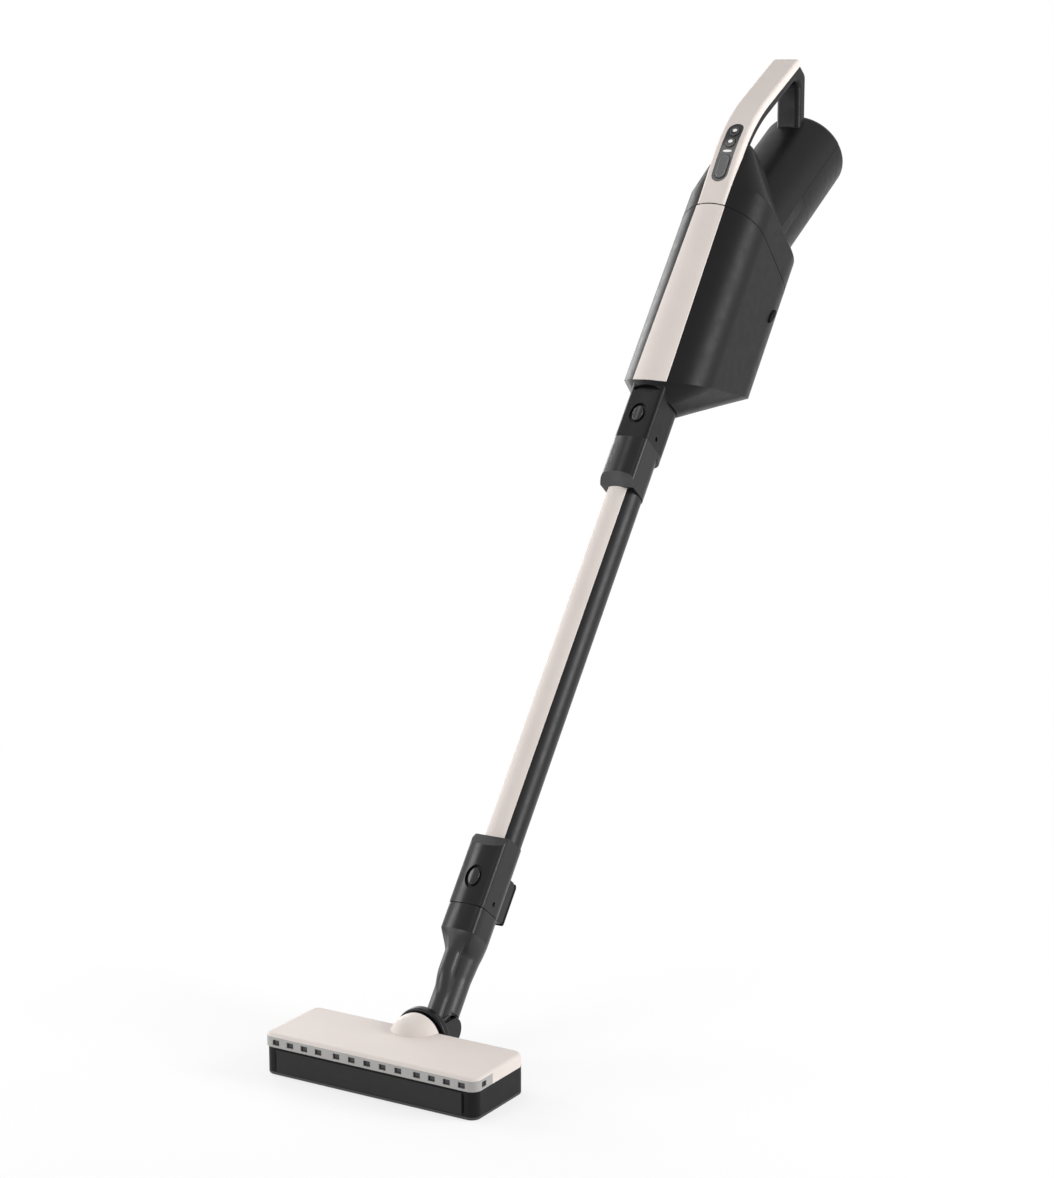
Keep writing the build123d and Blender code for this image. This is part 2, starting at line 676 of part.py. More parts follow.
def make_yoke():
    body = rod_y(SWIVEL_R, SWIVEL_FRONT, SWIVEL_BACK, z=NECK_PIVOT_Z)
    body = fillet(body.edges().filter_by(GeomType.CIRCLE), SWIVEL_EDGE)
    body += rod_y(SPIGOT_R, SPIGOT_FRONT, SWIVEL_FRONT, z=NECK_PIVOT_Z)
    for side in (-1, 1):
        x = side * (ARM_IN + ARM_OUT) / 2
        arm = rod_x(ARM_END_R, ARM_OUT - ARM_IN, x, NECK_PIVOT_Y, NECK_PIVOT_Z)
        arm += block(x - (ARM_OUT - ARM_IN) / 2, x + (ARM_OUT - ARM_IN) / 2, SWIVEL_BACK - OVERRUN, NECK_PIVOT_Y,
                     NECK_PIVOT_Z - ARM_END_R, NECK_PIVOT_Z + ARM_END_R)
        body += arm
    body -= rod_y(SPIGOT_BORE, SPIGOT_FRONT, SWIVEL_BACK, z=NECK_PIVOT_Z)
    body -= rod_x(PIN_R, 2 * PIN_END, 0, NECK_PIVOT_Y, NECK_PIVOT_Z)
    return body


def make_clip():
    front = BEARING_FRONT - PART_GAP - CLIP_T
    outer = rod_y(CLIP_R, front, front + CLIP_T, z=NECK_PIVOT_Z)
    return outer - rod_y(SPIGOT_R, front, front + CLIP_T, z=NECK_PIVOT_Z)


def make_neck_pin(side):
    length = PIN_END - ARM_IN / 2
    x = side * (PIN_END + ARM_IN / 2) / 2
    return rod_x(PIN_R, length, x, NECK_PIVOT_Y, NECK_PIVOT_Z)


# Neck, drawn along the stick

def make_neck():
    body = rod_s(NECK_R, 0, LOW_SEAM)
    body += rod_x(BARREL_R, 2 * BARREL_HALF)
    body += Pos(0, 0, (FLARE_LOW + FLARE_HIGH) / 2) * Cone(NECK_R, JOINT_HALF, FLARE_L)
    ridge = extrude(oval(RIDGE_HALF, -RIDGE_FRONT, RIDGE_HALF), COLLAR_LOW - RIDGE_LOW)
    body += Pos(0, 0, RIDGE_LOW) * Rot(-RIDGE_LEAN, 0, 0) * ridge
    narrow = (JOINT_HALF - NECK_R) * (FLARE_HIGH - COLLAR_TIP) / FLARE_L
    taper = loft([
        Pos(0, 0, COLLAR_LOW) * joint_section(),
        Pos(0, 0, COLLAR_TIP) * joint_section(narrow - PART_GAP),
    ], ruled=True)
    taper = split(taper, bisect_by=front_slant(COLLAR_LOW, COLLAR_TIP, NECK_R), keep=Keep.TOP)
    body += joint_block(COLLAR_LOW, LOW_SEAM) + taper
    body += rod_s(PLUG_R, LOW_SEAM, LOW_SEAM + PLUG_L)
    arm_room = rod_x(ARM_END_R + ARM_SPACE, 4 * ARM_OUT)
    arm_room -= rod_x(ARM_END_R + 2 * ARM_SPACE, 2 * BARREL_HALF)
    body -= arm_room
    body -= rod_s(NECK_BORE, BARREL_R / 2, LOW_SEAM)
    body -= rod_s(PLUG_BORE, LOW_SEAM - OVERRUN, LOW_SEAM + PLUG_L)
    body -= rod_y(NECK_BORE, -BARREL_R - OVERRUN, 0)
    pin_room = rod_x(PIN_R + RUN_FIT, 2 * BARREL_HALF)
    return body - pin_room


# Wand, drawn along the stick

def make_tube():
    return rod_s(TUBE_R, TUBE_LOW, TUBE_HIGH) - rod_s(TUBE_R - TUBE_WALL, TUBE_LOW, TUBE_HIGH)


def strip_sector(low, high, reach):
    """A wedge of the stick's front between two stations, as wide as the front strip."""
    half = reach * math.tan(math.radians(STRIP_HALF_ANGLE))
    return Pos(0, 0, low) * extrude(Polygon((0, 0), (-half, -reach), (half, -reach), align=None), high - low)


def make_strip():
    low = LOW_SOCKET_TOP - SOCKET_CHAMFER - STRIP_SEAT
    high = UP_COLLAR_LOW + SOCKET_CHAMFER + STRIP_SEAT
    ring = rod_s(STRIP_R, low, high) - rod_s(TUBE_R + SEAT_FIT, low, high)
    return ring & strip_sector(low, high, 2 * STRIP_R)


def button_room(station):
    """The guide of a release button and the wider well round its top."""
    guide = button_prism(BUTTON_HALF_W + PART_GAP, BUTTON_HALF_L + PART_GAP, station,
                         -2 * JOINT_FRONT, -BUTTON_FLOOR)
    well = button_prism(BUTTON_HALF_W + BUTTON_WELL, BUTTON_HALF_L + BUTTON_WELL, station, -2 * JOINT_FRONT,
                        -JOINT_FRONT + BUTTON_WELL_DEEP)
    return guide + well


def make_button(station):
    back = -BUTTON_FLOOR - BUTTON_PRESS - PART_GAP
    body = button_prism(BUTTON_HALF_W, BUTTON_HALF_L, station, -JOINT_FRONT - BUTTON_PROUD, back)
    body = fillet(body.faces().sort_by(Axis.Y)[0].edges(), BUTTON_EDGE)
    pocket = Rot(90, 0, 0) * Cylinder(SPRING_R + PART_GAP, SPRING_L)
    return body - Pos(0, back - SPRING_L / 2, station) * pocket


def make_button_spring(station):
    """The short coil that lifts a release button, drawn as a plain sleeve that stands into the button's pocket."""
    sleeve = Cylinder(SPRING_R, SPRING_L) - Cylinder(SPRING_BORE, SPRING_L)
    return Pos(0, -BUTTON_FLOOR - SPRING_L / 2, station) * Rot(90, 0, 0) * sleeve


def strip_room(low, high):
    return (rod_s(STRIP_R + SEAT_FIT, low, high) & strip_sector(low, high, 2 * STRIP_R)) + rod_s(
        TUBE_R + SEAT_FIT, low, high)


def make_low_socket():
    full = LOW_SOCKET_TOP - SOCKET_CHAMFER
    slant = front_slant(full, LOW_SOCKET_TOP, STRIP_R)
    body = split(joint_block(LOW_SEAM, LOW_SOCKET_TOP), bisect_by=slant, keep=Keep.BOTTOM)
    hook = block(-HOOK_HALF, HOOK_HALF, 0, HOOK_BACK, HOOK_LOW, HOOK_HIGH)
    body += fillet(hook.edges().filter_by(Axis.X).group_by(Axis.Y)[-1], HOOK_EDGE)
    body -= rod_s(PLUG_R + RUN_FIT, LOW_SEAM, LOW_SEAM + PLUG_L + PART_GAP)
    body -= rod_s(PLUG_BORE, LOW_SEAM, TUBE_LOW)
    body -= rod_s(TUBE_R + SEAT_FIT, TUBE_LOW, LOW_SOCKET_TOP)
    body -= strip_room(full - STRIP_SEAT, LOW_SOCKET_TOP)
    body -= button_room(LOW_SEAM + BUTTON_RISE)
    for side in (-1, 1):
        body -= rod_x(DETENT_R, 2 * DETENT_DEEP, side * JOINT_HALF, -DETENT_RISE, LOW_SEAM + DETENT_RISE)
    return body


def make_hook_pad():
    pad = block(-HOOK_HALF, HOOK_HALF, HOOK_BACK, HOOK_BACK + HOOK_PAD, HOOK_LOW, HOOK_HIGH)
    return fillet(pad.edges().filter_by(Axis.X).group_by(Axis.Y)[-1], HOOK_PAD - PART_GAP)


def make_up_collar():
    full = UP_COLLAR_LOW + SOCKET_CHAMFER
    slant = front_slant(full, UP_COLLAR_LOW, STRIP_R)
    body = split(joint_block(UP_COLLAR_LOW, UP_SEAM), bisect_by=slant, keep=Keep.TOP)
    body += joint_block(UP_BACK_LOW, UP_SEAM, UP_DEEP)
    body -= rod_s(TUBE_R + SEAT_FIT, UP_COLLAR_LOW, TUBE_HIGH)
    body -= rod_s(PLUG_BORE, TUBE_HIGH, UP_SEAM)
    return body - strip_room(UP_COLLAR_LOW, full + STRIP_SEAT)


def make_wand_plug():
    """The round spigot on the wand's top that slides into the cup's socket."""
    high = UP_SEAM + PLUG_L
    return rod_s(PLUG_R, UP_SEAM, high) - rod_s(PLUG_BORE, UP_SEAM, high)


# Dust cup, drawn along the stick

RIM_PLANE = tilted(-JOINT_FRONT, CUP_FRONT_S, CUP_RIM_TAN)
SEAM_PLANE = tilted(HANDLE_START_B, SEAM_S, -SEAM_TAN)
SHOULDER_PLANE = tilted(BODY_FRONT_C, SHOULDER_S, -SHOULDER_TAN)


def body_length(radius, low_plane, high_plane):
    """The body's section between two slanted planes."""
    column = Pos(0, 0, CONE_S - BODY_R) * extrude(stadium(radius), ROOT_S - CONE_S + BODY_R)
    column = split(column, bisect_by=low_plane, keep=Keep.TOP)
    return split(column, bisect_by=high_plane, keep=Keep.BOTTOM)


def cone(radius, narrow):
    """The tapering underside between the body's rim and the inlet socket."""
    column = body_length(radius, RIM_PLANE, SEAM_PLANE)
    rim = column.faces().filter_by(GeomType.PLANE).sort_by(Axis.Z)[0]
    low_plane = tilted(CONE_FRONT, CONE_S, CONE_TAN)
    mouth = low_plane * (Pos(0, -CONE_FRONT) * oval(CONE_HALF - narrow, CONE_FRONT + narrow, CONE_BACK - narrow))
    return loft([rim, mouth.face()], ruled=True)


def cup_room():
    """The space inside the cup."""
    return body_length(BODY_R - WALL, RIM_PLANE, SEAM_PLANE) + cone(BODY_R - WALL, WALL)


def make_cup():
    body = body_length(BODY_R, RIM_PLANE, SEAM_PLANE.offset(-SEAM_GAP)) + cone(BODY_R, 0.0)
    body += joint_block(UP_SEAM, CONE_S + BODY_R / 2, UP_DEEP)
    body -= cup_room()
    floor = SCOOP_DEPTH - JOINT_FRONT
    body += block(-SCOOP_HALF - WALL, SCOOP_HALF + WALL, floor, floor + WALL,
                  SCOOP_S - SCOOP_H / 2 - WALL, SCOOP_S + SCOOP_H / 2 + WALL)
    body -= rod_s(PLUG_R + RUN_FIT, UP_SEAM, UP_SEAM + PLUG_L + PART_GAP)
    body -= rod_s(PLUG_BORE, UP_SEAM, CONE_S + BODY_R)
    body -= button_room(UP_SEAM + BUTTON_RISE)
    body -= button_prism(SCOOP_HALF, SCOOP_H / 2, SCOOP_S, -2 * JOINT_FRONT, floor)
    body -= cup_strip(SEAT_FIT)
    for side in (-1, 1):
        body -= rod_x(DETENT_R, 2 * DETENT_DEEP, side * JOINT_HALF, -DETENT_RISE, UP_SEAM + DETENT_RISE)
        body -= latch_prism(side, PART_GAP, WALL + LATCH_ROOM)
    return body


def make_cup_seal():
    """The thin rubber ring between the cup's mouth and the main unit."""
    ring = body_length(BODY_R - SEAL_INSET, SEAM_PLANE.offset(-SEAM_GAP), SEAM_PLANE.offset(-SEAT_FIT))
    return ring - body_length(BODY_R - WALL, RIM_PLANE, SEAM_PLANE)


def cup_strip(extra=0.0):
    """The pale strip down the cup's front, a little proud of the shell."""
    low = CUP_FRONT_S
    high = SEAM_S - SEAM_GAP
    shell = body_length(BODY_R + STRIP_PROUD, RIM_PLANE, SEAM_PLANE.offset(-SEAM_GAP))
    shell -= Pos(0, 0, low - BODY_R) * extrude(stadium(BODY_R - STRIP_DEEP - extra), high - low + 2 * BODY_R)
    outline = Polygon(
        (-STRIP_LOW_HALF - extra, low - OVERRUN), (STRIP_LOW_HALF + extra, low - OVERRUN),
        (STRIP_TOP_HALF + extra, high + OVERRUN), (-STRIP_TOP_HALF - extra, high + OVERRUN), align=None)
    return shell & extrude(Plane.XZ * outline, BODY_R)


def latch_prism(side, extra, depth):
    """The slanted oval of a side latch, from inside the wall outwards."""
    face = Ellipse(LATCH_HALF_W + extra, LATCH_HALF_L + extra)
    prism = Rot(0, 90, 0) * extrude(Rot(0, 0, 90) * face, depth + LATCH_PROUD)
    start = BODY_R - depth
    leaned = Rot(-LATCH_LEAN, 0, 0) * prism
    piece = Pos(start, LATCH_B, LATCH_S) * leaned
    return piece if side > 0 else mirror(piece, Plane.YZ)


def make_latch(side):
    return latch_prism(side, 0.0, WALL - LATCH_PRESS + LATCH_ROOM)


def make_inlet_pipe():
    """The pipe that carries the air up through the cup."""
    high = FILTER_LOW - WALL
    pipe = rod_s(PLUG_BORE + WALL, UP_SEAM, high) - rod_s(PLUG_BORE, UP_SEAM, high)
    return pipe & cup_room()


def make_filter_frame():
    """The tray across the cup's mouth that carries the filters."""
    under = SEAM_PLANE.offset(-TRAY_DROP - TRAY_T)
    plate = body_length(BODY_R - WALL - SEAT_FIT, under, SEAM_PLANE.offset(-TRAY_DROP))
    hole = Pos(0, FILTER_B, 0) * rod_s(FILTER_R - WALL, CONE_S, ROOT_S)
    return plate - hole


def make_mesh_filter():
    """The cone-shaped mesh screen under the tray."""
    middle = Pos(0, FILTER_B, (FILTER_LOW + FILTER_TOP) / 2)
    outer = middle * Cone(FILTER_R - FILTER_TAPER, FILTER_R, FILTER_H)
    inner = middle * Pos(0, 0, WALL) * Cone(FILTER_R - FILTER_TAPER - WALL, FILTER_R - WALL, FILTER_H)
    tray_under = SEAM_PLANE.offset(-TRAY_DROP - TRAY_T - SEAT_FIT)
    return split(outer - inner, bisect_by=tray_under, keep=Keep.BOTTOM)


def make_pleated_filter():
    """The pleated fine filter inside the screen."""
    points = []
    for step in range(2 * PLEATS):
        radius = PLEAT_R if step % 2 else PLEAT_R - PLEAT_DEEP
        turn = math.radians(step * 180 / PLEATS)
        points.append((radius * math.cos(turn), radius * math.sin(turn)))
    ring = Polygon(*points, align=None) - Circle(PLEAT_R - PLEAT_DEEP - PLEAT_T)
    return Pos(0, FILTER_B, FILTER_LOW + WALL) * extrude(ring, PLEAT_H)


# Main unit, drawn along the stick

def motor_bar(radius, low, high):
    return MOTOR * Pos(0, 0, (low + high) / 2) * Cylinder(radius, high - low)


def motor_barrel():
    barrel = motor_bar(MOTOR_R, MOTOR_LOW, MOTOR_END)
    return fillet(barrel.edges().filter_by(GeomType.CIRCLE).sort_by(Axis.Z)[-1], MOTOR_EDGE)


def pack_side(extra=0.0):
    """Everything behind the battery's seat plane, above its foot."""
    reach = 3 * MOTOR_R
    return MOTOR * block(-reach, reach, PACK_FACE - extra, reach, PACK_LOW - extra, 2 * MOTOR_END)


def root_block(radius, narrow):
    """The sloped shoulder between the body's band and the handle's root."""
    column = body_length(radius, SEAM_PLANE, SHOULDER_PLANE)
    top = column.faces().filter_by(GeomType.PLANE).sort_by(Axis.Z)[-1]
    root = Pos(0, 0, ROOT_S - narrow) * oval(ROOT_HALF - narrow, ROOT_FRONT + narrow, ROOT_BACK - narrow)
    return loft([top, root.face()], ruled=True)


def make_main_housing():
    barrel = split(motor_barrel(), bisect_by=SEAM_PLANE, keep=Keep.TOP)
    root = root_block(BODY_R, 0.0)
    root = fillet(root.faces().sort_by(Axis.Z)[-1].edges(), ROOT_EDGE)
    body = body_length(BODY_R, SEAM_PLANE, SHOULDER_PLANE) + root + barrel
    body -= body_length(BODY_R - WALL, SEAM_PLANE, SHOULDER_PLANE) + root_block(BODY_R - WALL, WALL)
    hollow = motor_bar(MOTOR_R - WALL, MOTOR_LOW, PACK_LOW - WALL)
    hollow += motor_bar(MOTOR_R - WALL, MOTOR_LOW, MOTOR_END - WALL) - pack_side(WALL)
    body -= split(hollow, bisect_by=SEAM_PLANE.offset(-OVERRUN), keep=Keep.TOP)
    body -= pack_side()
    body -= vent_slots()
    body -= handle_band(SEAT_FIT, -HANDLE_COVER_T - SEAT_FIT, HANDLE_HALF + SEAT_FIT)
    return body


def vent_slots():
    """The exhaust slots through the barrel's end face."""
    slots = []
    for step in range(VENT_SLOTS):
        x = (step - (VENT_SLOTS - 1) / 2) * VENT_PITCH
        face = Pos(x, VENT_H) * SlotOverall(VENT_L, VENT_W, rotation=90)
        slots.append(MOTOR * Pos(0, 0, MOTOR_END - 2 * WALL) * extrude(face, 3 * WALL))
    return slots


def make_pack():
    body = motor_bar(MOTOR_R, PACK_LOW + PART_GAP, PACK_END)
    body = fillet(body.edges().filter_by(GeomType.CIRCLE).sort_by(Axis.Z)[-1], PACK_EDGE)
    body &= pack_side(-PART_GAP)
    inner = motor_bar(MOTOR_R - WALL, PACK_LOW + PART_GAP + WALL, PACK_END - WALL) & pack_side(-PART_GAP - WALL)
    body -= inner
    for blade in terminal_blades(PART_GAP):
        body -= blade
    return body - pack_latch_block(PART_GAP, PACK_EDGE)


def cell_places():
    nest = math.sqrt(3) / 2
    rows = [(-1, 0), (0, 0), (1, 0), (-0.5, nest), (0.5, nest)]
    pitch = 2 * CELL_R + PART_GAP
    first = PACK_FACE + WALL + CELL_SPACE + CELL_R
    return [(across * pitch, first + back * pitch) for across, back in rows]


def make_cells():
    low = PACK_LOW + PART_GAP + WALL
    return [MOTOR * Pos(x, y, low + CELL_L / 2) * Cylinder(CELL_R, CELL_L) for x, y in cell_places()]


def handle_line(shift):
    """The handle's front line, moved out by a shift: start, then start, middle and end of the bend, and top."""
    radius = HANDLE_R + shift
    reach = math.hypot(HANDLE_C_B - HANDLE_START_B, HANDLE_C_S - SEAM_S)
    turn = math.pi + math.atan2(HANDLE_C_S - SEAM_S, HANDLE_C_B - HANDLE_START_B)
    touch = turn - math.acos(HANDLE_R / reach)
    lean = math.radians(HANDLE_BEND)
    end_turn = math.pi - lean
    start = (HANDLE_START_B + shift * math.cos(touch), SEAM_S + shift * math.sin(touch))
    bend = [(HANDLE_C_B + radius * math.cos(a), HANDLE_C_S + radius * math.sin(a))
            for a in (touch, (touch + end_turn) / 2, end_turn)]
    top = (bend[-1][0] + (HANDLE_TOP - bend[-1][1]) * math.tan(lean), HANDLE_TOP)
    return start, *bend, top


def handle_face(outside, inside):
    """The side outline of a band along the handle, between two offsets from its front line."""
    start_o, bend_o, mid_o, end_o, top_o = handle_line(outside)
    start_i, bend_i, mid_i, end_i, top_i = handle_line(inside)
    outline = Curve() + [
        Line(start_o, bend_o), ThreePointArc(bend_o, mid_o, end_o), Line(end_o, top_o), Line(top_o, top_i),
        Line(top_i, end_i), ThreePointArc(end_i, mid_i, bend_i), Line(bend_i, start_i), Line(start_i, start_o),
    ]
    return make_face(outline)


def handle_band(outside, inside, half):
    band = extrude(Plane.YZ * handle_face(outside, inside), half, both=True)
    return split(band, bisect_by=SEAM_PLANE.offset(SEAT_FIT), keep=Keep.TOP)


def panel_prism(low, high, half, extra=0.0):
    """A round-ended prism through the handle's front between two stations."""
    face = Pos(0, (low + high) / 2) * SlotOverall(high - low + 2 * extra, 2 * half + 2 * extra, rotation=90)
    return extrude(Plane.XZ * face, HANDLE_R)


def key_prism(name, extra=0.0):
    low, length, half = KEYS[name]
    return panel_prism(low, low + length, half, extra)


def rounded_along(body, radius, size):
    """Round the long edges of a handle piece that follow the bend of the given radius."""
    bends = [edge for edge in body.edges().filter_by(GeomType.CIRCLE) if abs(edge.radius - radius) < 0.01]
    return fillet(bends, size)


def make_handle_cover():
    face = handle_face(0.0, -HANDLE_COVER_T)
    tip = handle_line(0.0)[-1]
    face = fillet(face.vertices().sort_by_distance((tip[0], tip[1], 0))[0], HANDLE_TIP)
    body = extrude(Plane.YZ * face, HANDLE_HALF, both=True)
    body = split(body, bisect_by=SEAM_PLANE.offset(SEAT_FIT), keep=Keep.TOP)
    body = rounded_along(body, HANDLE_R, HANDLE_EDGE)
    seat = handle_band(OVERRUN, -PANEL_SUNK - PANEL_T, HANDLE_HALF)
    body -= panel_prism(PANEL_LOW, PANEL_HIGH, PANEL_HALF) & seat
    for name in KEYS:
        body -= key_prism(name, KEY_GAP) & handle_band(OVERRUN, -KEY_T - KEY_PRESS - KEY_GAP, HANDLE_HALF)
    return body


def make_panel():
    body = panel_prism(PANEL_LOW, PANEL_HIGH, PANEL_HALF) & handle_band(
        -PANEL_SUNK, -PANEL_SUNK - PANEL_T, HANDLE_HALF)
    for name in KEYS:
        body -= key_prism(name, KEY_GAP)
    return body


def make_key(name):
    return key_prism(name) & handle_band(KEY_PROUD, -KEY_T, HANDLE_HALF)


def post_meets(shift, front):
    """Where the rear post's front line crosses a line along the handle, as back and height stations."""
    lean = math.tan(math.radians(STICK_LEAN))
    drop = (handle_line(shift)[-1][0] - front) / (lean + math.tan(math.radians(HANDLE_BEND)))
    return front + drop * lean, HANDLE_TOP - drop


def make_grip():
    outside = -HANDLE_COVER_T - SEAT_FIT
    inside = outside - GRIP_T
    middle = (outside + inside) / 2
    lean = math.radians(STICK_LEAN)
    tilt = math.radians(MOTOR_TILT)
    down = (math.sin(lean), -math.cos(lean))
    front = POST_BACK - POST_T / math.cos(lean)
    above = (HANDLE_TOP - MOTOR_S) * math.sin(tilt) - (front - MOTOR_B) * math.cos(tilt)
    length = (above - MOTOR_R / 2) / (down[0] * math.cos(tilt) - down[1] * math.sin(tilt))
    foot_s = HANDLE_TOP + length * down[1]
    post = Polygon(
        handle_line(middle)[-1], (POST_BACK, HANDLE_TOP), (POST_BACK + length * down[0], foot_s),
        (front + length * down[0], foot_s), post_meets(middle, front), align=None)
    body = extrude(Plane.YZ * handle_face(outside, inside), GRIP_HALF, both=True)
    body += extrude(Plane.YZ * post, GRIP_HALF, both=True)
    for corner, size in ((post_meets(inside, front), LOOP_CORNER), ((POST_BACK, HANDLE_TOP), POST_CORNER)):
        edge = body.edges().filter_by(Axis.X).sort_by_distance((0, *corner))[0]
        body = fillet(edge, size)
    body = split(body, bisect_by=Plane.XY.offset(ROOT_S), keep=Keep.TOP)
    body = rounded_along(body, HANDLE_R + inside, GRIP_EDGE)
    body = rounded_along(body, POST_CORNER, POST_EDGE)
    return body - motor_barrel()


# Inside the main unit, drawn along the motor's axis

def make_suction_motor():
    body = motor_bar(CAN_R, CAN_LOW, CAN_HIGH)
    return body - motor_bar(SHAFT_R + RUN_FIT, CAN_LOW, CAN_HIGH - WALL)


def make_motor_mount():
    ring = motor_bar(MOTOR_R - WALL - SEAT_FIT, MOUNT_LOW, MOUNT_LOW + MOUNT_T)
    ring -= motor_bar(CAN_R + SEAT_FIT, MOUNT_LOW, MOUNT_LOW + MOUNT_T)
    for step in range(MOUNT_HOLES):
        turn = Rot(0, 0, step * 360 / MOUNT_HOLES)
        hole = MOTOR * turn * Pos((CAN_R + MOTOR_R - WALL) / 2, 0, MOUNT_LOW + MOUNT_T / 2)
        ring -= hole * Cylinder(MOUNT_HOLE_R, MOUNT_T)
    return ring


def make_fan():
    body = motor_bar(FAN_R, FAN_LOW, FAN_LOW + FAN_DISC)
    middle = MOTOR * Pos(0, 0, FAN_LOW + FAN_T / 2)
    blade = Pos(FAN_R * 5 / 8, 0, 0) * Rot(0, 0, FAN_BLADE_LEAN) * Box(FAN_R / 2, FAN_BLADE_T, FAN_T)
    for step in range(FAN_BLADES):
        body += middle * Rot(0, 0, step * 360 / FAN_BLADES) * blade
    body += motor_bar(3 * SHAFT_R, FAN_LOW, FAN_LOW + FAN_T)
    return body + motor_bar(SHAFT_R, FAN_LOW, CAN_HIGH - 2 * WALL)


def make_intake_grille():
    """The slotted plate under the motor, seated in the main unit's mouth."""
    plate = body_length(BODY_R - WALL - SEAT_FIT, SEAM_PLANE, SEAM_PLANE.offset(GRILLE_T))
    slot = extrude(SlotOverall(2 * (BODY_R - GRILLE_SIDE), GRILLE_SLOT_W), ROOT_S - CONE_S)
    for step in range(GRILLE_SLOTS):
        slot_b = FILTER_B + (step - (GRILLE_SLOTS - 1) / 2) * GRILLE_PITCH
        plate -= Pos(0, slot_b, CONE_S) * slot
    return plate - handle_band(SEAT_FIT, -HANDLE_COVER_T - SEAT_FIT, HANDLE_HALF + SEAT_FIT)


def make_board():
    half = math.sqrt((MOTOR_R - WALL) ** 2 - (BOARD_H - BOARD_T / 2) ** 2) - 2 * SEAT_FIT
    return MOTOR * block(-half, half, BOARD_H - BOARD_T / 2, BOARD_H + BOARD_T / 2, PACK_LOW, BOARD_HIGH)


def terminal_blades(extra=0.0):
    """Two upright contact blades on the battery's seat."""
    blades = []
    for side in (-1, 1):
        x = side * TERMINAL_X
        half_x = TERMINAL_T / 2 + extra
        half_h = TERMINAL_W / 2 + extra
        blades.append(MOTOR * block(x - half_x, x + half_x, TERMINAL_H - half_h, TERMINAL_H + half_h,
                                    PACK_LOW, PACK_LOW + TERMINAL_L + extra))
    return blades


def pack_latch_block(extra, proud):
    outer = MOTOR_R + proud
    return MOTOR * block(-PACK_KEY_HALF - extra, PACK_KEY_HALF + extra, MOTOR_R - PACK_KEY_DEEP, outer,
                         PACK_KEY_LOW - extra, PACK_KEY_HIGH + extra)


def make_pack_latch():
    return pack_latch_block(0.0, PACK_KEY_PROUD)


save("head_base", make_base())
save("head_cover", make_cover())
save("front_bumper", make_bumper())
save("front_flap", make_flap())
save("sole_plate", make_sole())
save("head_screws", *[make_screw(a * SCREW_X, b * SCREW_Y) for a in (-1, 1) for b in (-1, 1)])
save("brush_roll", make_roll())
save("left_roll_bush", make_bush(-1))
save("right_roll_bush", make_bush(1))
save("brush_motor", make_brush_motor())
save("motor_pulley", make_motor_pulley())
save("drive_belt", make_belt())
save("left_wheel", make_wheel(-1))
save("right_wheel", make_wheel(1))
save("wheel_axles", make_axle(-1), make_axle(1))
save("swivel_bearing", make_bearing())
save("swivel_yoke", make_yoke())
save("swivel_clip", make_clip())
save("neck_pins", make_neck_pin(-1), make_neck_pin(1))
save_stick("neck", make_neck())
save_stick("wand_tube", make_tube())
save_stick("wand_strip", make_strip())
save_stick("wand_lower_socket", make_low_socket())
save_stick("wand_hook_pad", make_hook_pad())
save_stick("wand_upper_collar", make_up_collar())
save_stick("wand_plug", make_wand_plug())
save_stick("head_release_button", make_button(LOW_SEAM + BUTTON_RISE))
save_stick("head_button_spring", make_button_spring(LOW_SEAM + BUTTON_RISE))
save_stick("wand_release_button", make_button(UP_SEAM + BUTTON_RISE))
save_stick("wand_button_spring", make_button_spring(UP_SEAM + BUTTON_RISE))
save_stick("dust_cup", make_cup())
save_stick("cup_seal", make_cup_seal())
save_stick("cup_strip", cup_strip())
save_stick("inlet_pipe", make_inlet_pipe())
save_stick("filter_tray", make_filter_frame())
save_stick("mesh_screen", make_mesh_filter())
save_stick("pleated_filter", make_pleated_filter())
save_stick("left_cup_latch", make_latch(-1))
save_stick("right_cup_latch", make_latch(1))
save_stick("main_housing", make_main_housing())
save_stick("battery_pack", make_pack())
save_stick("battery_cells", *make_cells())
save_stick("battery_terminals", *terminal_blades())
save_stick("battery_latch", make_pack_latch())
save_stick("suction_motor", make_suction_motor())
save_stick("motor_mount", make_motor_mount())
save_stick("suction_fan", make_fan())
save_stick("intake_grille", make_intake_grille())
save_stick("control_board", make_board())
save_stick("handle_cover", make_handle_cover())
save_stick("handle_grip", make_grip())
save_stick("control_panel", make_panel())
for key in KEYS:
    save_stick(key, make_key(key))
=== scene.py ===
import bpy
import bmesh
import json
import math
from mathutils import Matrix, Vector


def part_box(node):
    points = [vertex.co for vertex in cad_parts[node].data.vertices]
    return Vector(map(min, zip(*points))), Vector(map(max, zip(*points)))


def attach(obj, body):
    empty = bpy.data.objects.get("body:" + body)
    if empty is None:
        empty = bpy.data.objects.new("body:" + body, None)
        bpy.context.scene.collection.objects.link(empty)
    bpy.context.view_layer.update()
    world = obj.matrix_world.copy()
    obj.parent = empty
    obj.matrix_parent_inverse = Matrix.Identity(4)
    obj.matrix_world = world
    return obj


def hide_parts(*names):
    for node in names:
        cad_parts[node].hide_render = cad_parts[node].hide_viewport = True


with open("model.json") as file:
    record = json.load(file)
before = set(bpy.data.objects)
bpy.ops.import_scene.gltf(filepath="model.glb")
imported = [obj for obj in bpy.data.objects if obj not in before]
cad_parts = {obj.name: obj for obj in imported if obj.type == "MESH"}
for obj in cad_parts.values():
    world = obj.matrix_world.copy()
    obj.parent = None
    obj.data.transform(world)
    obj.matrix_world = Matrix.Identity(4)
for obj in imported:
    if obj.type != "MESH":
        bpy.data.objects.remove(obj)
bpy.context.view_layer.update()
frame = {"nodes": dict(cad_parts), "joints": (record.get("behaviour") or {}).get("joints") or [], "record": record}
nodes = frame["nodes"]

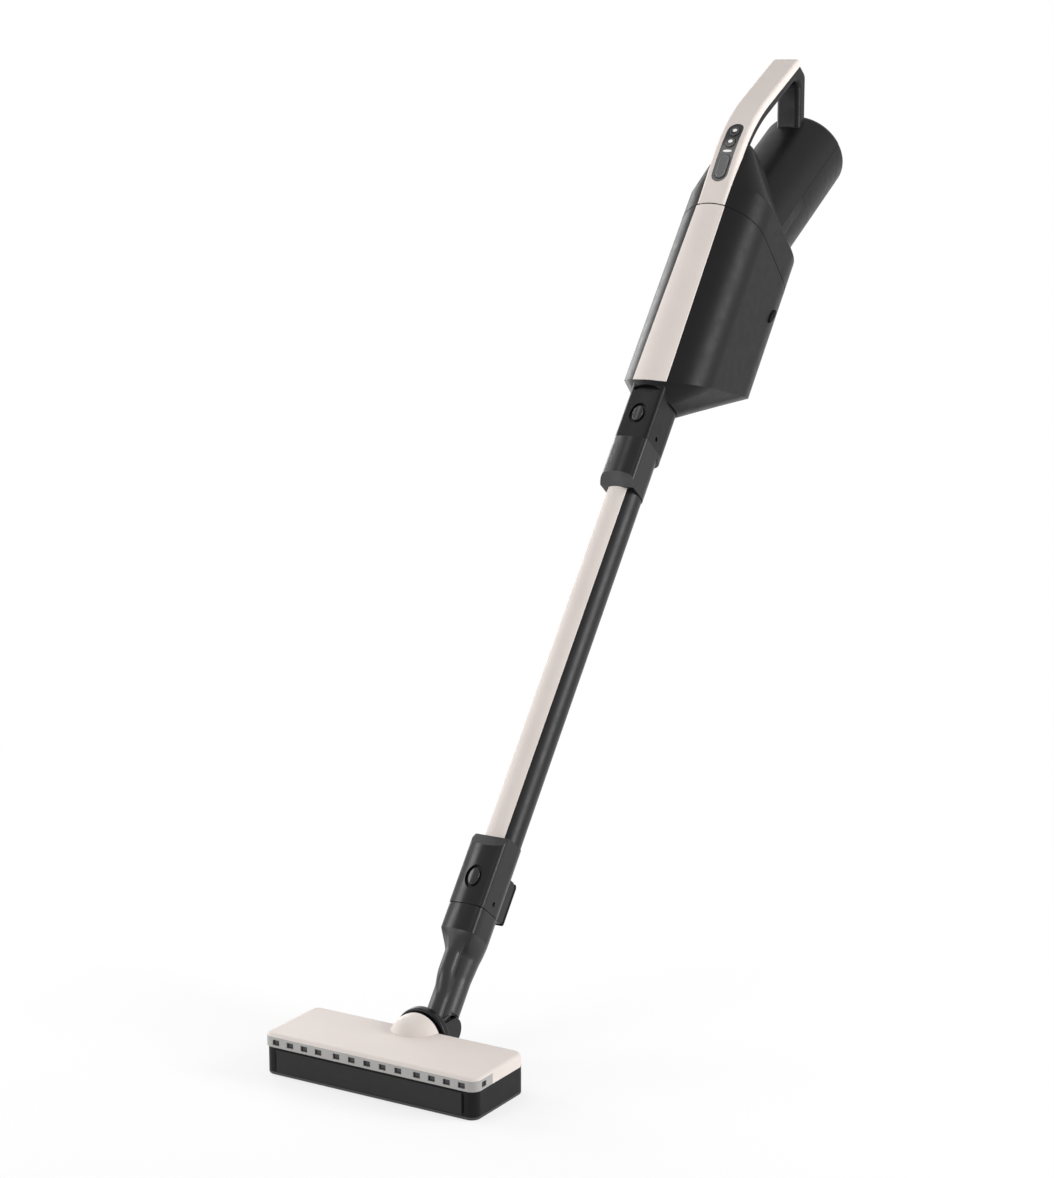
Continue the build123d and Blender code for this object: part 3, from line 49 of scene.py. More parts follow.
# Directions: the stick stands on the neck's pivot, and the wand slides down out of the cup

joints = {joint["name"]: joint for joint in frame["joints"]}
ACROSS = Vector((1, 0, 0))
FORWARD = Vector((0, -1, 0))
VERTICAL = Vector((0, 0, 1))
PIVOT = Vector(joints["head_tilt"]["pos_m"])
UP = -Vector(joints["wand_slide"]["axis"]).normalized()
BACK = UP.cross(ACROSS)
MM = 0.001


def on_stick(x, b, s):
    """A point in millimetres across, behind and along the wand, as a place in metres."""
    return PIVOT + Vector((x * MM, 0, 0)) + BACK * (b * MM) + UP * (s * MM)


# Shader building blocks

def noise(tree, where, size, detail=2.0, rough=0.5):
    """A noise whose features are about size metres across."""
    node = tree.nodes.new("ShaderNodeTexNoise")
    node.inputs["Scale"].default_value = 1.0 / size
    node.inputs["Detail"].default_value = detail
    node.inputs["Roughness"].default_value = rough
    tree.links.new(where, node.inputs["Vector"])
    return node.outputs["Fac"]


def spread(tree, value, low, high, start=0.3, end=0.7):
    """Map values from start to end onto low to high."""
    node = tree.nodes.new("ShaderNodeMapRange")
    node.inputs["From Min"].default_value = start
    node.inputs["From Max"].default_value = end
    node.inputs["To Min"].default_value = low
    node.inputs["To Max"].default_value = high
    tree.links.new(value, node.inputs["Value"])
    return node.outputs["Result"]


def two_tone(tree, factor, first, second):
    """A mix of two colours, each a plain colour or a socket."""
    node = tree.nodes.new("ShaderNodeMix")
    node.data_type = "RGBA"
    tree.links.new(factor, node.inputs["Factor"])
    for end, name in ((first, "A"), (second, "B")):
        socket = [s for s in node.inputs if s.name == name and s.type == "RGBA"][0]
        if isinstance(end, tuple):
            socket.default_value = (*end, 1.0)
        else:
            tree.links.new(end, socket)
    return [s for s in node.outputs if s.type == "RGBA"][0]


def combined(tree, operation, first, second):
    """A maths node on a socket and another socket or a number."""
    node = tree.nodes.new("ShaderNodeMath")
    node.operation = operation
    tree.links.new(first, node.inputs[0])
    if isinstance(second, float):
        node.inputs[1].default_value = second
    else:
        tree.links.new(second, node.inputs[1])
    return node.outputs[0]


def bumped(tree, shader, height, depth):
    """Give a shader a bump of a depth in metres."""
    node = tree.nodes.new("ShaderNodeBump")
    node.inputs["Strength"].default_value = 1.0
    node.inputs["Distance"].default_value = depth
    tree.links.new(height, node.inputs["Height"])
    tree.links.new(node.outputs["Normal"], shader.inputs["Normal"])
    return node


def roughened(tree, shader, value, rough, less, more):
    """Vary a shader's roughness with a value, from less below the given one to more above it."""
    worn = spread(tree, value, rough - less, min(1.0, rough + more))
    tree.links.new(worn, shader.inputs["Roughness"])


def shade(colour, factor):
    """A colour made lighter or darker."""
    return tuple(min(1.0, c * factor) for c in colour)


FRONT_FROM = 0.80
FRONT_FULL = 0.95


def facing_front(tree):
    """1 on surfaces that face the front of the stick, and 0 on its ends and sides."""
    place = tree.nodes.new("ShaderNodeTexCoord")
    ahead = tree.nodes.new("ShaderNodeVectorMath")
    ahead.operation = "DOT_PRODUCT"
    ahead.inputs[1].default_value = -BACK
    tree.links.new(place.outputs["Normal"], ahead.inputs[0])
    return spread(tree, ahead.outputs["Value"], 0.0, 1.0, FRONT_FROM, FRONT_FULL)


def crowned(tree, where, radius):
    """The fall of a surface that is crowned across the stick, as a height in metres."""
    parts = tree.nodes.new("ShaderNodeSeparateXYZ")
    tree.links.new(where, parts.inputs["Vector"])
    square = combined(tree, "MULTIPLY", parts.outputs["X"], parts.outputs["X"])
    return combined(tree, "MULTIPLY", square, -0.5 / radius)


# Materials, with the sizes of their textures in metres

MATERIALS = {}
DRIFT_SIZE = 0.045
WEAR_SIZE = 0.011
SPECK_SHADE = 1.35
LINE_SIZE = 0.0004
LINE_STRETCH = 0.02
LINE_DEPTH = 0.00001
FIBRE_DRIFT = 0.02
FIBRE_SHEEN = 0.25


def new_material(name):
    """Keep a new material under its name; gives its nodes, its shader and the object's coordinates."""
    mat = bpy.data.materials.new(name)
    mat.use_nodes = True
    MATERIALS[name] = mat
    tree = mat.node_tree
    place = tree.nodes.new("ShaderNodeTexCoord")
    return tree, tree.nodes["Principled BSDF"], place.outputs["Object"]


def moulded(name, colour, rough, grain=0.0007, depth=0.00002, mottle=0.05, speck=0.03, level=0.5,
            crown=None):
    """Moulded plastic or rubber: slow drift of tone, fine speckle and the texture of the mould.

    A crown is the radius to which flat fronts are shaded.
    """
    tree, shader, where = new_material(name)
    slow = spread(tree, noise(tree, where, DRIFT_SIZE, detail=3.0), 0.0, 1.0)
    drift = two_tone(tree, slow, shade(colour, 1 - mottle), shade(colour, 1 + mottle))
    fine = noise(tree, where, grain, rough=0.6)
    specks = spread(tree, fine, 0.0, speck, start=0.45, end=0.75)
    speckled = two_tone(tree, specks, drift, shade(colour, SPECK_SHADE))
    tree.links.new(speckled, shader.inputs["Base Color"])
    wear = noise(tree, where, WEAR_SIZE, detail=4.0, rough=0.6)
    roughened(tree, shader, wear, rough, less=0.05, more=0.06)
    shader.inputs["Specular IOR Level"].default_value = level
    grained = bumped(tree, shader, fine, depth)
    if crown:
        arched = tree.nodes.new("ShaderNodeBump")
        arched.inputs["Distance"].default_value = 1.0
        tree.links.new(facing_front(tree), arched.inputs["Strength"])
        tree.links.new(crowned(tree, where, crown), arched.inputs["Height"])
        tree.links.new(arched.outputs["Normal"], grained.inputs["Normal"])


def metal(name, colour, rough):
    """Drawn or turned metal, with fine lines that run across the object."""
    tree, shader, where = new_material(name)
    stretch = tree.nodes.new("ShaderNodeMapping")
    stretch.inputs["Scale"].default_value = (LINE_STRETCH, 1.0, 1.0)
    tree.links.new(where, stretch.inputs["Vector"])
    lines = noise(tree, stretch.outputs["Vector"], LINE_SIZE, detail=3.0, rough=0.7)
    tone = two_tone(tree, spread(tree, lines, 0.0, 1.0), shade(colour, 0.86), shade(colour, 1.1))
    tree.links.new(tone, shader.inputs["Base Color"])
    roughened(tree, shader, lines, rough, less=0.06, more=0.08)
    shader.inputs["Metallic"].default_value = 1.0
    bumped(tree, shader, lines, LINE_DEPTH)


def fibres(name, colour, rough, size=0.0006, depth=0.00012):
    """Matted or woven fibre, with a soft sheen."""
    tree, shader, where = new_material(name)
    fine = noise(tree, where, size, detail=4.0, rough=0.7)
    slow = noise(tree, where, FIBRE_DRIFT)
    drift = two_tone(tree, spread(tree, slow, 0.0, 1.0), shade(colour, 0.85), shade(colour, 1.12))
    tone = two_tone(tree, spread(tree, fine, 0.0, 0.6, start=0.35, end=0.7), drift, shade(colour, 1.5))
    tree.links.new(tone, shader.inputs["Base Color"])
    roughened(tree, shader, fine, rough, less=0.06, more=0.06)
    shader.inputs["Sheen Weight"].default_value = FIBRE_SHEEN
    bumped(tree, shader, fine, depth)


CREAM = (0.690, 0.625, 0.588)
COAL = (0.0080, 0.0080, 0.0088)
BLACK = (0.0060, 0.0060, 0.0064)
GREY = (0.36, 0.352, 0.342)
BUTTON = (0.022, 0.022, 0.023)
FLAP = (0.020, 0.020, 0.021)
PALE = (0.82, 0.80, 0.78)
LINE_GREY = (0.11, 0.11, 0.115)
SOLE = (0.035, 0.035, 0.038)
BOARD_GREEN = (0.03, 0.14, 0.06)
STEEL = (0.56, 0.56, 0.58)
LIGHT_METAL = (0.55, 0.55, 0.57)
BRASS = (0.70, 0.53, 0.24)
FABRIC = (0.06, 0.06, 0.066)
PAPER = (0.72, 0.72, 0.70)

moulded("cream_plastic", CREAM, 0.50, depth=0.000008, mottle=0.018, speck=0.05, level=0.12)
moulded("charcoal_plastic", shade(COAL, 0.9), 0.39, mottle=0.06, speck=0.05, level=0.14)
moulded("charcoal_gloss", shade(COAL, 0.9), 0.24, grain=0.0012, depth=0.000006, level=0.20)
moulded("charcoal_joint", shade(COAL, 1.1), 0.32, grain=0.0009, depth=0.000008, level=0.24, crown=0.024)
moulded("charcoal_neck", shade(COAL, 1.6), 0.34, grain=0.0009, depth=0.000008, level=0.42)
moulded("charcoal_metal", shade(COAL, 1.2), 0.36, grain=0.0004, depth=0.000008, level=0.22)
moulded("gloss_black", BLACK, 0.14, grain=0.0015, depth=0.000004, level=0.4)
moulded("grey_rubber", GREY, 0.55, depth=0.00003)
moulded("black_rubber", BLACK, 0.62, depth=0.00004, speck=0.08, level=0.3)
moulded("button_gloss", BUTTON, 0.22, grain=0.0012, depth=0.000006, level=0.3, crown=0.008)
moulded("pad_rubber", shade(BLACK, 0.7), 0.70, depth=0.00004, speck=0.06, level=0.1)
moulded("flap_rubber", FLAP, 0.60, depth=0.00004, speck=0.08, level=0.2)
moulded("pale_glint_and_mark", PALE, 0.30, grain=0.0015, depth=0.000004)
moulded("grey_line", LINE_GREY, 0.30, grain=0.0015, depth=0.000004)
moulded("sole_plastic", SOLE, 0.55, depth=0.00004)
moulded("board", BOARD_GREEN, 0.45, grain=0.002)
metal("steel", STEEL, 0.30)
metal("light_metal", LIGHT_METAL, 0.42)
metal("brass", BRASS, 0.28)
fibres("brush_fabric", FABRIC, 0.85)
fibres("filter_paper", PAPER, 0.90, size=0.0009, depth=0.00006)

# Nodes whose finish isn't the one that their material slot names

SPECIAL = {
    "swivel_yoke": "charcoal_gloss",
    "wand_lower_socket": "charcoal_joint",
    "wand_upper_collar": "charcoal_joint",
    "head_release_button": "button_gloss",
    "wand_release_button": "button_gloss",
    "wand_hook_pad": "pad_rubber",
    "left_cup_latch": "pad_rubber",
    "right_cup_latch": "pad_rubber",
    "front_flap": "flap_rubber",
}

slot_of = {row["node"]: row["material_slot"] for row in frame["record"]["subparts"]}
for name, obj in nodes.items():
    finish = SPECIAL.get(name, slot_of[name])
    obj.data.materials.clear()
    obj.data.materials.append(MATERIALS[finish])

# Moulded edges: CAD pieces get a small round on their sharp edges, apart from the crisp ones

EDGE_ROUND = 0.0004
EDGE_ANGLE = math.radians(28)
FLAT_ANGLE = math.radians(0.6)
CRISP_ANGLE = math.radians(30)
WELD_GAP = 0.000002
CRISP = ("front_bumper", "sole_plate")
ROUNDER = {"handle_cover": 0.0014, "head_cover": 0.0012, "handle_grip": 0.0012}


def joined(obj):
    """Join the points that the CAD mesh repeats along its seams."""
    weld = obj.modifiers.new("weld", "WELD")
    weld.merge_threshold = WELD_GAP


def soften(obj, width, segments):
    """Round the sharp edges of a piece."""
    joined(obj)
    flat = obj.modifiers.new("flat", "DECIMATE")
    flat.decimate_type = "DISSOLVE"
    flat.angle_limit = FLAT_ANGLE
    edge = obj.modifiers.new("edge", "BEVEL")
    edge.width = width
    edge.segments = segments
    edge.limit_method = "ANGLE"
    edge.angle_limit = EDGE_ANGLE
    edge.use_clamp_overlap = True
    edge.miter_outer = "MITER_ARC"
    even = obj.modifiers.new("even", "WEIGHTED_NORMAL")
    even.weight = 60
    even.keep_sharp = False


def crisp(obj):
    """Keep the sharp edges of a piece with many small notches or openings as they are."""
    joined(obj)
    parted = obj.modifiers.new("parted", "EDGE_SPLIT")
    parted.split_angle = CRISP_ANGLE


for name, obj in nodes.items():
    for poly in obj.data.polygons:
        poly.use_smooth = True
    if name in CRISP:
        crisp(obj)
    elif name in ROUNDER:
        soften(obj, ROUNDER[name], segments=3)
    else:
        soften(obj, EDGE_ROUND, segments=2)

# Building trim that the solids leave out

def skin(bm, rings):
    """Join each ring of points to the next one."""
    for first, second in zip(rings, rings[1:]):
        for k in range(len(first)):
            after = (k + 1) % len(first)
            bm.faces.new((first[k], first[after], second[after], second[k]))


def lofted(bm, rings):
    """Skin a row of rings and close both ends."""
    skin(bm, rings)
    bm.faces.new(rings[-1])
    bm.faces.new(tuple(reversed(rings[0])))


def looped(bm, rings):
    """Skin a row of rings that comes back to its start."""
    skin(bm, rings + rings[:1])


def piece(name, bm, finish, body, round_below=0):
    """Turn a trim mesh into a finished piece that rides one body.

    Edges flatter than round_below degrees shade smooth.
    """
    bmesh.ops.recalc_face_normals(bm, faces=bm.faces)
    mesh = bpy.data.meshes.new(name)
    bm.to_mesh(mesh)
    bm.free()
    obj = bpy.data.objects.new(name, mesh)
    bpy.context.scene.collection.objects.link(obj)
    mesh.materials.append(MATERIALS[finish])
    for poly in mesh.polygons:
        poly.use_smooth = round_below > 0
    if round_below:
        mesh.set_sharp_from_angle(angle=math.radians(round_below))
    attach(obj, body)
    return obj


# A window of the trim: its floor is set in by a multiple of its rim, at a share of its depth

CORNERS = ((-1, -1), (1, -1), (1, 1), (-1, 1))
FLOOR_INSET = 1.6
FLOOR_LEVEL = 0.35

# Head trim: dark inserts of painted shade in the bumper's notches, and slits beside the flap, in millimetres

NOTCH_DEEP = 2.2
MIDDLE_STEP = 16.0
OUTER_X = 96.0
OUTER_STEP = 15.0
OUTER_COUNT = 4
WINDOW_HALF_W = 3.45
WINDOW_HALF_H = 2.45
WINDOW_RIM = 0.5
WINDOW_DEEP = 1.2
SLIT_SET = 0.25
SLIT_HALF_W = 1.0
SLIT_SHORT = 2.0
SLIT_RIM = 0.25
SLIT_DEEP = 0.2


def tray(bm, centre, across, out, half_w, half_h, rim, deep):
    """A small upright window in metres: a raised edge round a sunk floor, facing along out."""
    rings = []
    profile = ((0.0, 0.0), (0.0, deep), (rim, deep), (FLOOR_INSET * rim, FLOOR_LEVEL * deep))
    for inset, height in profile:
        ring = []
        for a, b in CORNERS:
            flat = across * (a * (half_w - inset)) + VERTICAL * (b * (half_h - inset))
            ring.append(bm.verts.new(centre + flat + out * height))
        rings.append(ring)
    lofted(bm, rings)


def notch_shade(bm, centre, across, out):
    """One dark insert of the bumper, painted shade on a notch's floor."""
    tray(bm, centre, across, out, WINDOW_HALF_W * MM, WINDOW_HALF_H * MM, WINDOW_RIM * MM, WINDOW_DEEP * MM)


def bumper_notch_shade():
    """Dark inserts on the floors of the bumper's notches, painted shade for the recesses."""
    low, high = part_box("front_bumper")
    front_y = low[1] + NOTCH_DEEP * MM
    side_x = high[0] - NOTCH_DEEP * MM
    middle_y = (low[1] + high[1]) / 2
    middle_z = (low[2] + high[2]) / 2
    bm = bmesh.new()
    stations = [MIDDLE_STEP * step for step in (-2, -1, 0, 1, 2)]
    for side in (-1, 1):
        stations += [side * (OUTER_X - OUTER_STEP * step) for step in range(OUTER_COUNT)]
        centre = Vector((side * side_x, middle_y, middle_z))
        notch_shade(bm, centre, Vector((0, side, 0)), Vector((side, 0, 0)))
    for x in stations:
        notch_shade(bm, Vector((x * MM, front_y, middle_z)), ACROSS, FORWARD)
    piece("bumper_notch_shade", bm, "sole_plastic", "head")


def flap_slits():
    """Dark gaps beside the ends of the front flap."""
    low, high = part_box("front_flap")
    half_h = (high[2] - low[2]) / 2 - SLIT_SHORT * MM
    bm = bmesh.new()
    for x in (low[0], high[0]):
        centre = Vector((x, low[1] + SLIT_SET * MM, (low[2] + high[2]) / 2))
        tray(bm, centre, ACROSS, FORWARD, SLIT_HALF_W * MM, half_h, SLIT_RIM * MM, SLIT_DEEP * MM)
    piece("flap_slits", bm, "pad_rubber", "head")


# Marks on the control panel, in millimetres along the stick; the pale dots on the small keys are painted
# highlights

SEAM_S = 866.0
SEAM_FRONT = -31.0
BEND_START = 920.38
BEND_SHIFT = 2.756
BEND_S = 930.0
BEND_B = 156.0
BEND_R = 190.0
MODE_KEYS = {"low_mode": 938.8, "high_mode": 953.2}
POWER_S = 910.0
LIGHT_S = 928.6
GLINT_RISE = 1.4
INLAY_RIM = 0.25
RIM_FALL = 0.4
KEY_LIFT = 0.2
GLINT_LIFT = 0.42
LINE_LIFT = 0.38
LIGHT_FOOT = -0.75
LIGHT_LIFT = -0.35
PILL_STEPS = 7


def handle_front(s):
    """How far back the handle's front line lies at a station."""
    if s < BEND_START:
        return SEAM_FRONT - (s - SEAM_S) * BEND_SHIFT / (BEND_START - SEAM_S)
    return BEND_B - math.sqrt(BEND_R ** 2 - (s - BEND_S) ** 2)


def round_ended(half_w, half_l, wide=1.0, tall=1.0):
    """Points round a pill outline, counter-clockwise, stretched by two factors."""
    reach = half_l - half_w
    points = []
    for end in (1, -1):
        for k in range(PILL_STEPS):
            turn = math.pi * k / (PILL_STEPS - 1) + (0 if end > 0 else math.pi)
            x = half_w * math.cos(turn)
            s = end * reach + half_w * math.sin(turn)
            points.append((wide * x, tall * s))
    return points


def inlay(bm, station, outline, low, high):
    """A thin raised piece that follows the handle's front, with a narrow bevel round its top."""
    rings = []
    for inset, lift in ((0.0, low), (0.0, high - INLAY_RIM * RIM_FALL), (INLAY_RIM, high)):
        ring = []
        for x, s in outline:
            size = math.hypot(x, s)
            shrink = (size - inset) / size
            along = station + s * shrink
            ring.append(bm.verts.new(on_stick(x * shrink, handle_front(along) - lift, along)))
        rings.append(ring)
    lofted(bm, rings)


def frame_line(bm, station, half_w, half_l, width):
    """A thin raised pill outline that follows the handle's front."""
    outer = round_ended(half_w, half_l)
    inner = round_ended(half_w - width, half_l - width)
    rings = []
    for outline, lift in ((outer, KEY_LIFT), (outer, LINE_LIFT), (inner, LINE_LIFT), (inner, KEY_LIFT)):
        ring = []
        for x, s in outline:
            along = station + s
            ring.append(bm.verts.new(on_stick(x, handle_front(along) - lift, along)))
        rings.append(ring)
    looped(bm, rings)


def panel_marks():
    """Pale dots on the two small keys, which are painted highlights, outlines on these keys and the power key, and
    the light between them.
    """
    dot = round_ended(half_w=1.9, half_l=2.6, wide=1.25, tall=0.8)
    for key, station in MODE_KEYS.items():
        body = key + "_switch"
        bm = bmesh.new()
        # The pale dot on each small key is a painted highlight
        inlay(bm, station + GLINT_RISE, dot, KEY_LIFT, GLINT_LIFT)
        piece(key + "_mark", bm, "pale_glint_and_mark", body)
        bm = bmesh.new()
        frame_line(bm, station, half_w=4.7, half_l=5.3, width=0.45)
        piece(key + "_mark_ring", bm, "grey_line", body)
    bm = bmesh.new()
    frame_line(bm, POWER_S, half_w=4.9, half_l=12.4, width=0.55)
    piece("power_outline", bm, "grey_line", "power_switch")
    bm = bmesh.new()
    bar = round_ended(half_w=2.6, half_l=3.4, wide=1.9, tall=0.42)
    inlay(bm, LIGHT_S, bar, LIGHT_FOOT, LIGHT_LIFT)
    piece("panel_light", bm, "pale_glint_and_mark", "main_unit")


# Gasket lip round the body at the cup's seam, in millimetres

SEAM_TAN = 0.16
BODY_R = 46.0
BODY_FRONT = 15.0
BODY_BACK = 74.0
STRIP_HALF = 15.6
STRIP_PROUD = 0.8
FRONT_STEPS = 48
BACK_STEPS = 32
GASKET_DROP = 0.25
GASKET_SECTION = ((-0.9, -0.6), (0.02, -0.6), (0.14, -0.3), (0.14, 0.3), (0.02, 0.6), (-0.9, 0.6))


def seam_path():
    """Points round the body's round-ended section, each with its outward direction."""
    path = []
    for k in range(FRONT_STEPS + 1):
        turn = math.pi * k / FRONT_STEPS
        on_strip = abs(math.cos(turn)) * BODY_R < STRIP_HALF
        reach = BODY_R + (STRIP_PROUD if on_strip else 0.0)
        out = (math.cos(turn), -math.sin(turn))
        path.append((reach * out[0], BODY_FRONT + reach * out[1], out))
    for k in range(BACK_STEPS + 1):
        turn = math.pi * k / BACK_STEPS
        out = (-math.cos(turn), math.sin(turn))
        path.append((BODY_R * out[0], BODY_BACK + BODY_R * out[1], out))
    return path


def seam_gasket():
    """The dark lip of the cup's gasket, all round the body at the seam."""
    bm = bmesh.new()
    rings = []
    for x, b, out in seam_path():
        station = SEAM_S - SEAM_TAN * (b - SEAM_FRONT) - GASKET_DROP
        ring = []
        for p, q in GASKET_SECTION:
            ring.append(bm.verts.new(on_stick(x + out[0] * p, b + out[1] * p, station + q)))
        rings.append(ring)
    looped(bm, rings)
    piece("seam_gasket", bm, "pad_rubber", "main_unit")


# Bristles and felt under the head, in millimetres

ROLL_AXLE = Vector(joints["roll_spin"]["pos_m"]) / MM
ROLL_L = 188.0
ROLL_TWIST = 80.0
TUFT_ROWS = 4
ROW_STEP = 360.0 / TUFT_ROWS
TUFTS = 46
TUFT_FIRST = -90.0
TUFT_STEP = 4.0
TUFT_SPREAD = 1.1
TUFT_WANDER = 0.3
WANDER_PHASE = 7.0
STRANDS = 6
STRAND_TURN = 1.05
STRAND_LEAN = 5.0
LEAN_PHASE = 2.4
FOOT_R = 8.8
FOOT_SPLAY = 0.06
FOOT_THICK = 0.22
TIP_R = 13.9
TIP_FLARE = 1.5
TIP_THICK = 0.12
THIRDS = [2 * math.pi * k / 3 for k in range(3)]
FELT_SECTION = ((-5.5, 0.4), (-6.1, 0.4), (-6.9, 0.7), (-7.3, 1.3),
                (-7.3, 2.0), (-6.9, 2.6), (-6.1, 2.9), (-5.5, 2.9))
FELT_FIRST = -96.0
FELT_STEP = 2.0
FELT_RINGS = 97
FELT_WAVE = 0.12
FELT_WAVE_RATE = 1.7


def strand(bm, foot, tip):
    """A three-sided bristle that tapers to its tip."""
    stem = (tip - foot).normalized()
    side = stem.cross(ACROSS).normalized()
    other = stem.cross(side)
    rings = []
    for centre, thick in ((foot, FOOT_THICK), (tip, TIP_THICK)):
        ring = []
        for turn in THIRDS:
            offset = side * (thick * math.cos(turn)) + other * (thick * math.sin(turn))
            ring.append(bm.verts.new((centre + offset) * MM))
        rings.append(ring)
    lofted(bm, rings)


def roll_tufts():
    """Rows of bristles between the roll's blades."""
    bm = bmesh.new()
    for row in range(TUFT_ROWS):
        for step in range(TUFTS):
            x = TUFT_FIRST + TUFT_STEP * step
            turn = math.radians(ROW_STEP * (row + 0.5) + ROLL_TWIST * x / ROLL_L)
            for k in range(STRANDS):
                splay = turn + FOOT_SPLAY * math.sin(k)
                lean = turn + math.radians(STRAND_LEAN * math.sin(LEAN_PHASE * k + step))
                dx = TUFT_SPREAD * math.cos(STRAND_TURN * k) + TUFT_WANDER * math.sin(WANDER_PHASE * step)
                foot = Vector((x + dx, FOOT_R * math.cos(splay), FOOT_R * math.sin(splay)))
                tip = Vector((x + TIP_FLARE * dx, TIP_R * math.cos(lean), TIP_R * math.sin(lean)))
                strand(bm, ROLL_AXLE + foot, ROLL_AXLE + tip)
    piece("roll_tufts", bm, "brush_fabric", "roll")


def felt_lip():
    """The soft lip along the back edge of the suction slot."""
    bm = bmesh.new()
    rings = []
    for k in range(FELT_RINGS):
        x = FELT_FIRST + FELT_STEP * k
        wave = FELT_WAVE * math.sin(FELT_WAVE_RATE * x)
        rings.append([bm.verts.new(Vector((x, y + wave, z)) * MM) for y, z in FELT_SECTION])
    lofted(bm, rings)
    piece("felt_lip", bm, "brush_fabric", "head")


# Neck: a tube with a rib along its front, which swells into the connector's section, in millimetres

NECK_R = 14.8
WIDEN_LOW = 46.0
WIDEN_L = 44.0
RIB_R = 8.0
RIB_REACH = 18.8
RIB_SWELL = 6.2
RISE_LOW = 23.0
RISE_L = 26.0
JOINT_HALF = 18.2
JOINT_FRONT = 28.3
JOINT_SIDE_FRONT = 26.0
JOINT_BOW = (JOINT_FRONT - JOINT_SIDE_FRONT) / JOINT_HALF ** 2
CORNER_POWER = 10
COLLAR_LOW = 84.0
SWELL_LOW = 66.0
LOW_SEAM = 109.0
COLLAR_RIM = ((1.0, 0.0), (0.5, 0.12), (0.3, 0.45))
BARREL_R = 14.0
BARREL_HALF = 12.9
BARREL_STEP = 3.0
BARREL_RINGS = 4
EDGE_GAP = 0.1
SHAFT_FIRST = 15.5
SHAFT_STEP = 1.5
SHAFT_RINGS = 46
PLUG_R = 15.6
PLUG_BORE = 12.5
PLUG_TOP = 151.0
PLUG_LAP = 2.0
ROUND_EDGE = 0.8
BORE_EDGE = 0.4
NEAR_FRONT = math.radians(40)
FRONT_POINTS = 64
REAR_POINTS = 80
TINY = 1e-6

front_turns = [-NEAR_FRONT + 2 * NEAR_FRONT * k / FRONT_POINTS for k in range(FRONT_POINTS)]
rear_turns = [NEAR_FRONT + (2 * math.pi - 2 * NEAR_FRONT) * k / REAR_POINTS for k in range(REAR_POINTS)]
TURNS = front_turns + rear_turns


def clamped(value):
    """A value held between 0 and 1."""
    return max(0.0, min(1.0, value))


def ease(value):
    """A smooth step from 0 to 1."""
    value = clamped(value)
    return value * value * (3 - 2 * value)


def joint_reach(turn):
    """How far the connector's section reaches at an angle from its front, with rounded corners."""
    across = abs(math.sin(turn))
    ahead = math.cos(turn)
    if ahead < TINY:
        return JOINT_HALF
    bow = JOINT_BOW * across ** 2
    front = 2 * JOINT_FRONT / (ahead + math.sqrt(ahead ** 2 + 4 * bow * JOINT_FRONT))
    side = (across / JOINT_HALF) ** CORNER_POWER
    return (side + front ** -CORNER_POWER) ** (-1 / CORNER_POWER)


def neck_reach(turn, station):
    """How far the neck's section reaches at an angle from its front."""
    reach = NECK_R + (JOINT_HALF - NECK_R) * clamped((station - WIDEN_LOW) / WIDEN_L)
    centre = RIB_REACH + RIB_SWELL * ease((station - RISE_LOW) / RISE_L) - RIB_R
    across = abs(centre * math.sin(turn))
    if math.cos(turn) > 0 and across < RIB_R:
        reach = max(reach, centre * math.cos(turn) + math.sqrt(RIB_R ** 2 - across ** 2))
    swell = clamped((station - SWELL_LOW) / (COLLAR_LOW - SWELL_LOW))
    reach += (joint_reach(turn) - reach) * swell
    if station < BARREL_R:
        reach = min(reach, BARREL_HALF / max(abs(math.sin(turn)), TINY))
    return reach


def neck_ring(bm, station, reaches):
    """A ring round the stick's axis, with one reach for each of the turns."""
    ring = []
    for turn, reach in zip(TURNS, reaches):
        ring.append(bm.verts.new(on_stick(reach * math.sin(turn), -reach * math.cos(turn), station)))
    return ring


def neck_shaft():
    """The neck from its hinge up to the collar."""
    bm = bmesh.new()
    stations = [BARREL_STEP * k for k in range(1, BARREL_RINGS + 1)]
    stations += [BARREL_R - EDGE_GAP, BARREL_R + EDGE_GAP]
    stations += [SHAFT_FIRST + SHAFT_STEP * k for k in range(SHAFT_RINGS)]
    stations.append(COLLAR_LOW)
    lofted(bm, [neck_ring(bm, s, [neck_reach(turn, s) for turn in TURNS]) for s in stations])
    shaft = piece("neck_shaft", bm, "charcoal_neck", "neck", round_below=50)
    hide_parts("neck")


def neck_collar():
    """The connector's collar; its rim is given as steps below the seam and inwards."""
    bm = bmesh.new()
    profile = [(COLLAR_LOW, 0.0)] + [(LOW_SEAM - below, inset) for below, inset in COLLAR_RIM]
    lofted(bm, [neck_ring(bm, s, [joint_reach(turn) - inset for turn in TURNS]) for s, inset in profile])
    piece("neck_collar", bm, "charcoal_joint", "neck", round_below=50)


def neck_plug():
    """The round spigot that enters the wand."""
    bm = bmesh.new()
    profile = (
        (PLUG_R, LOW_SEAM - PLUG_LAP),
        (PLUG_R, PLUG_TOP - ROUND_EDGE),
        (PLUG_R - ROUND_EDGE, PLUG_TOP),
        (PLUG_BORE + BORE_EDGE, PLUG_TOP),
        (PLUG_BORE, PLUG_TOP - BORE_EDGE),
        (PLUG_BORE, LOW_SEAM + PLUG_LAP),
    )
    lofted(bm, [neck_ring(bm, s, [r] * len(TURNS)) for r, s in profile])
    piece("neck_plug", bm, "charcoal_plastic", "neck", round_below=30)


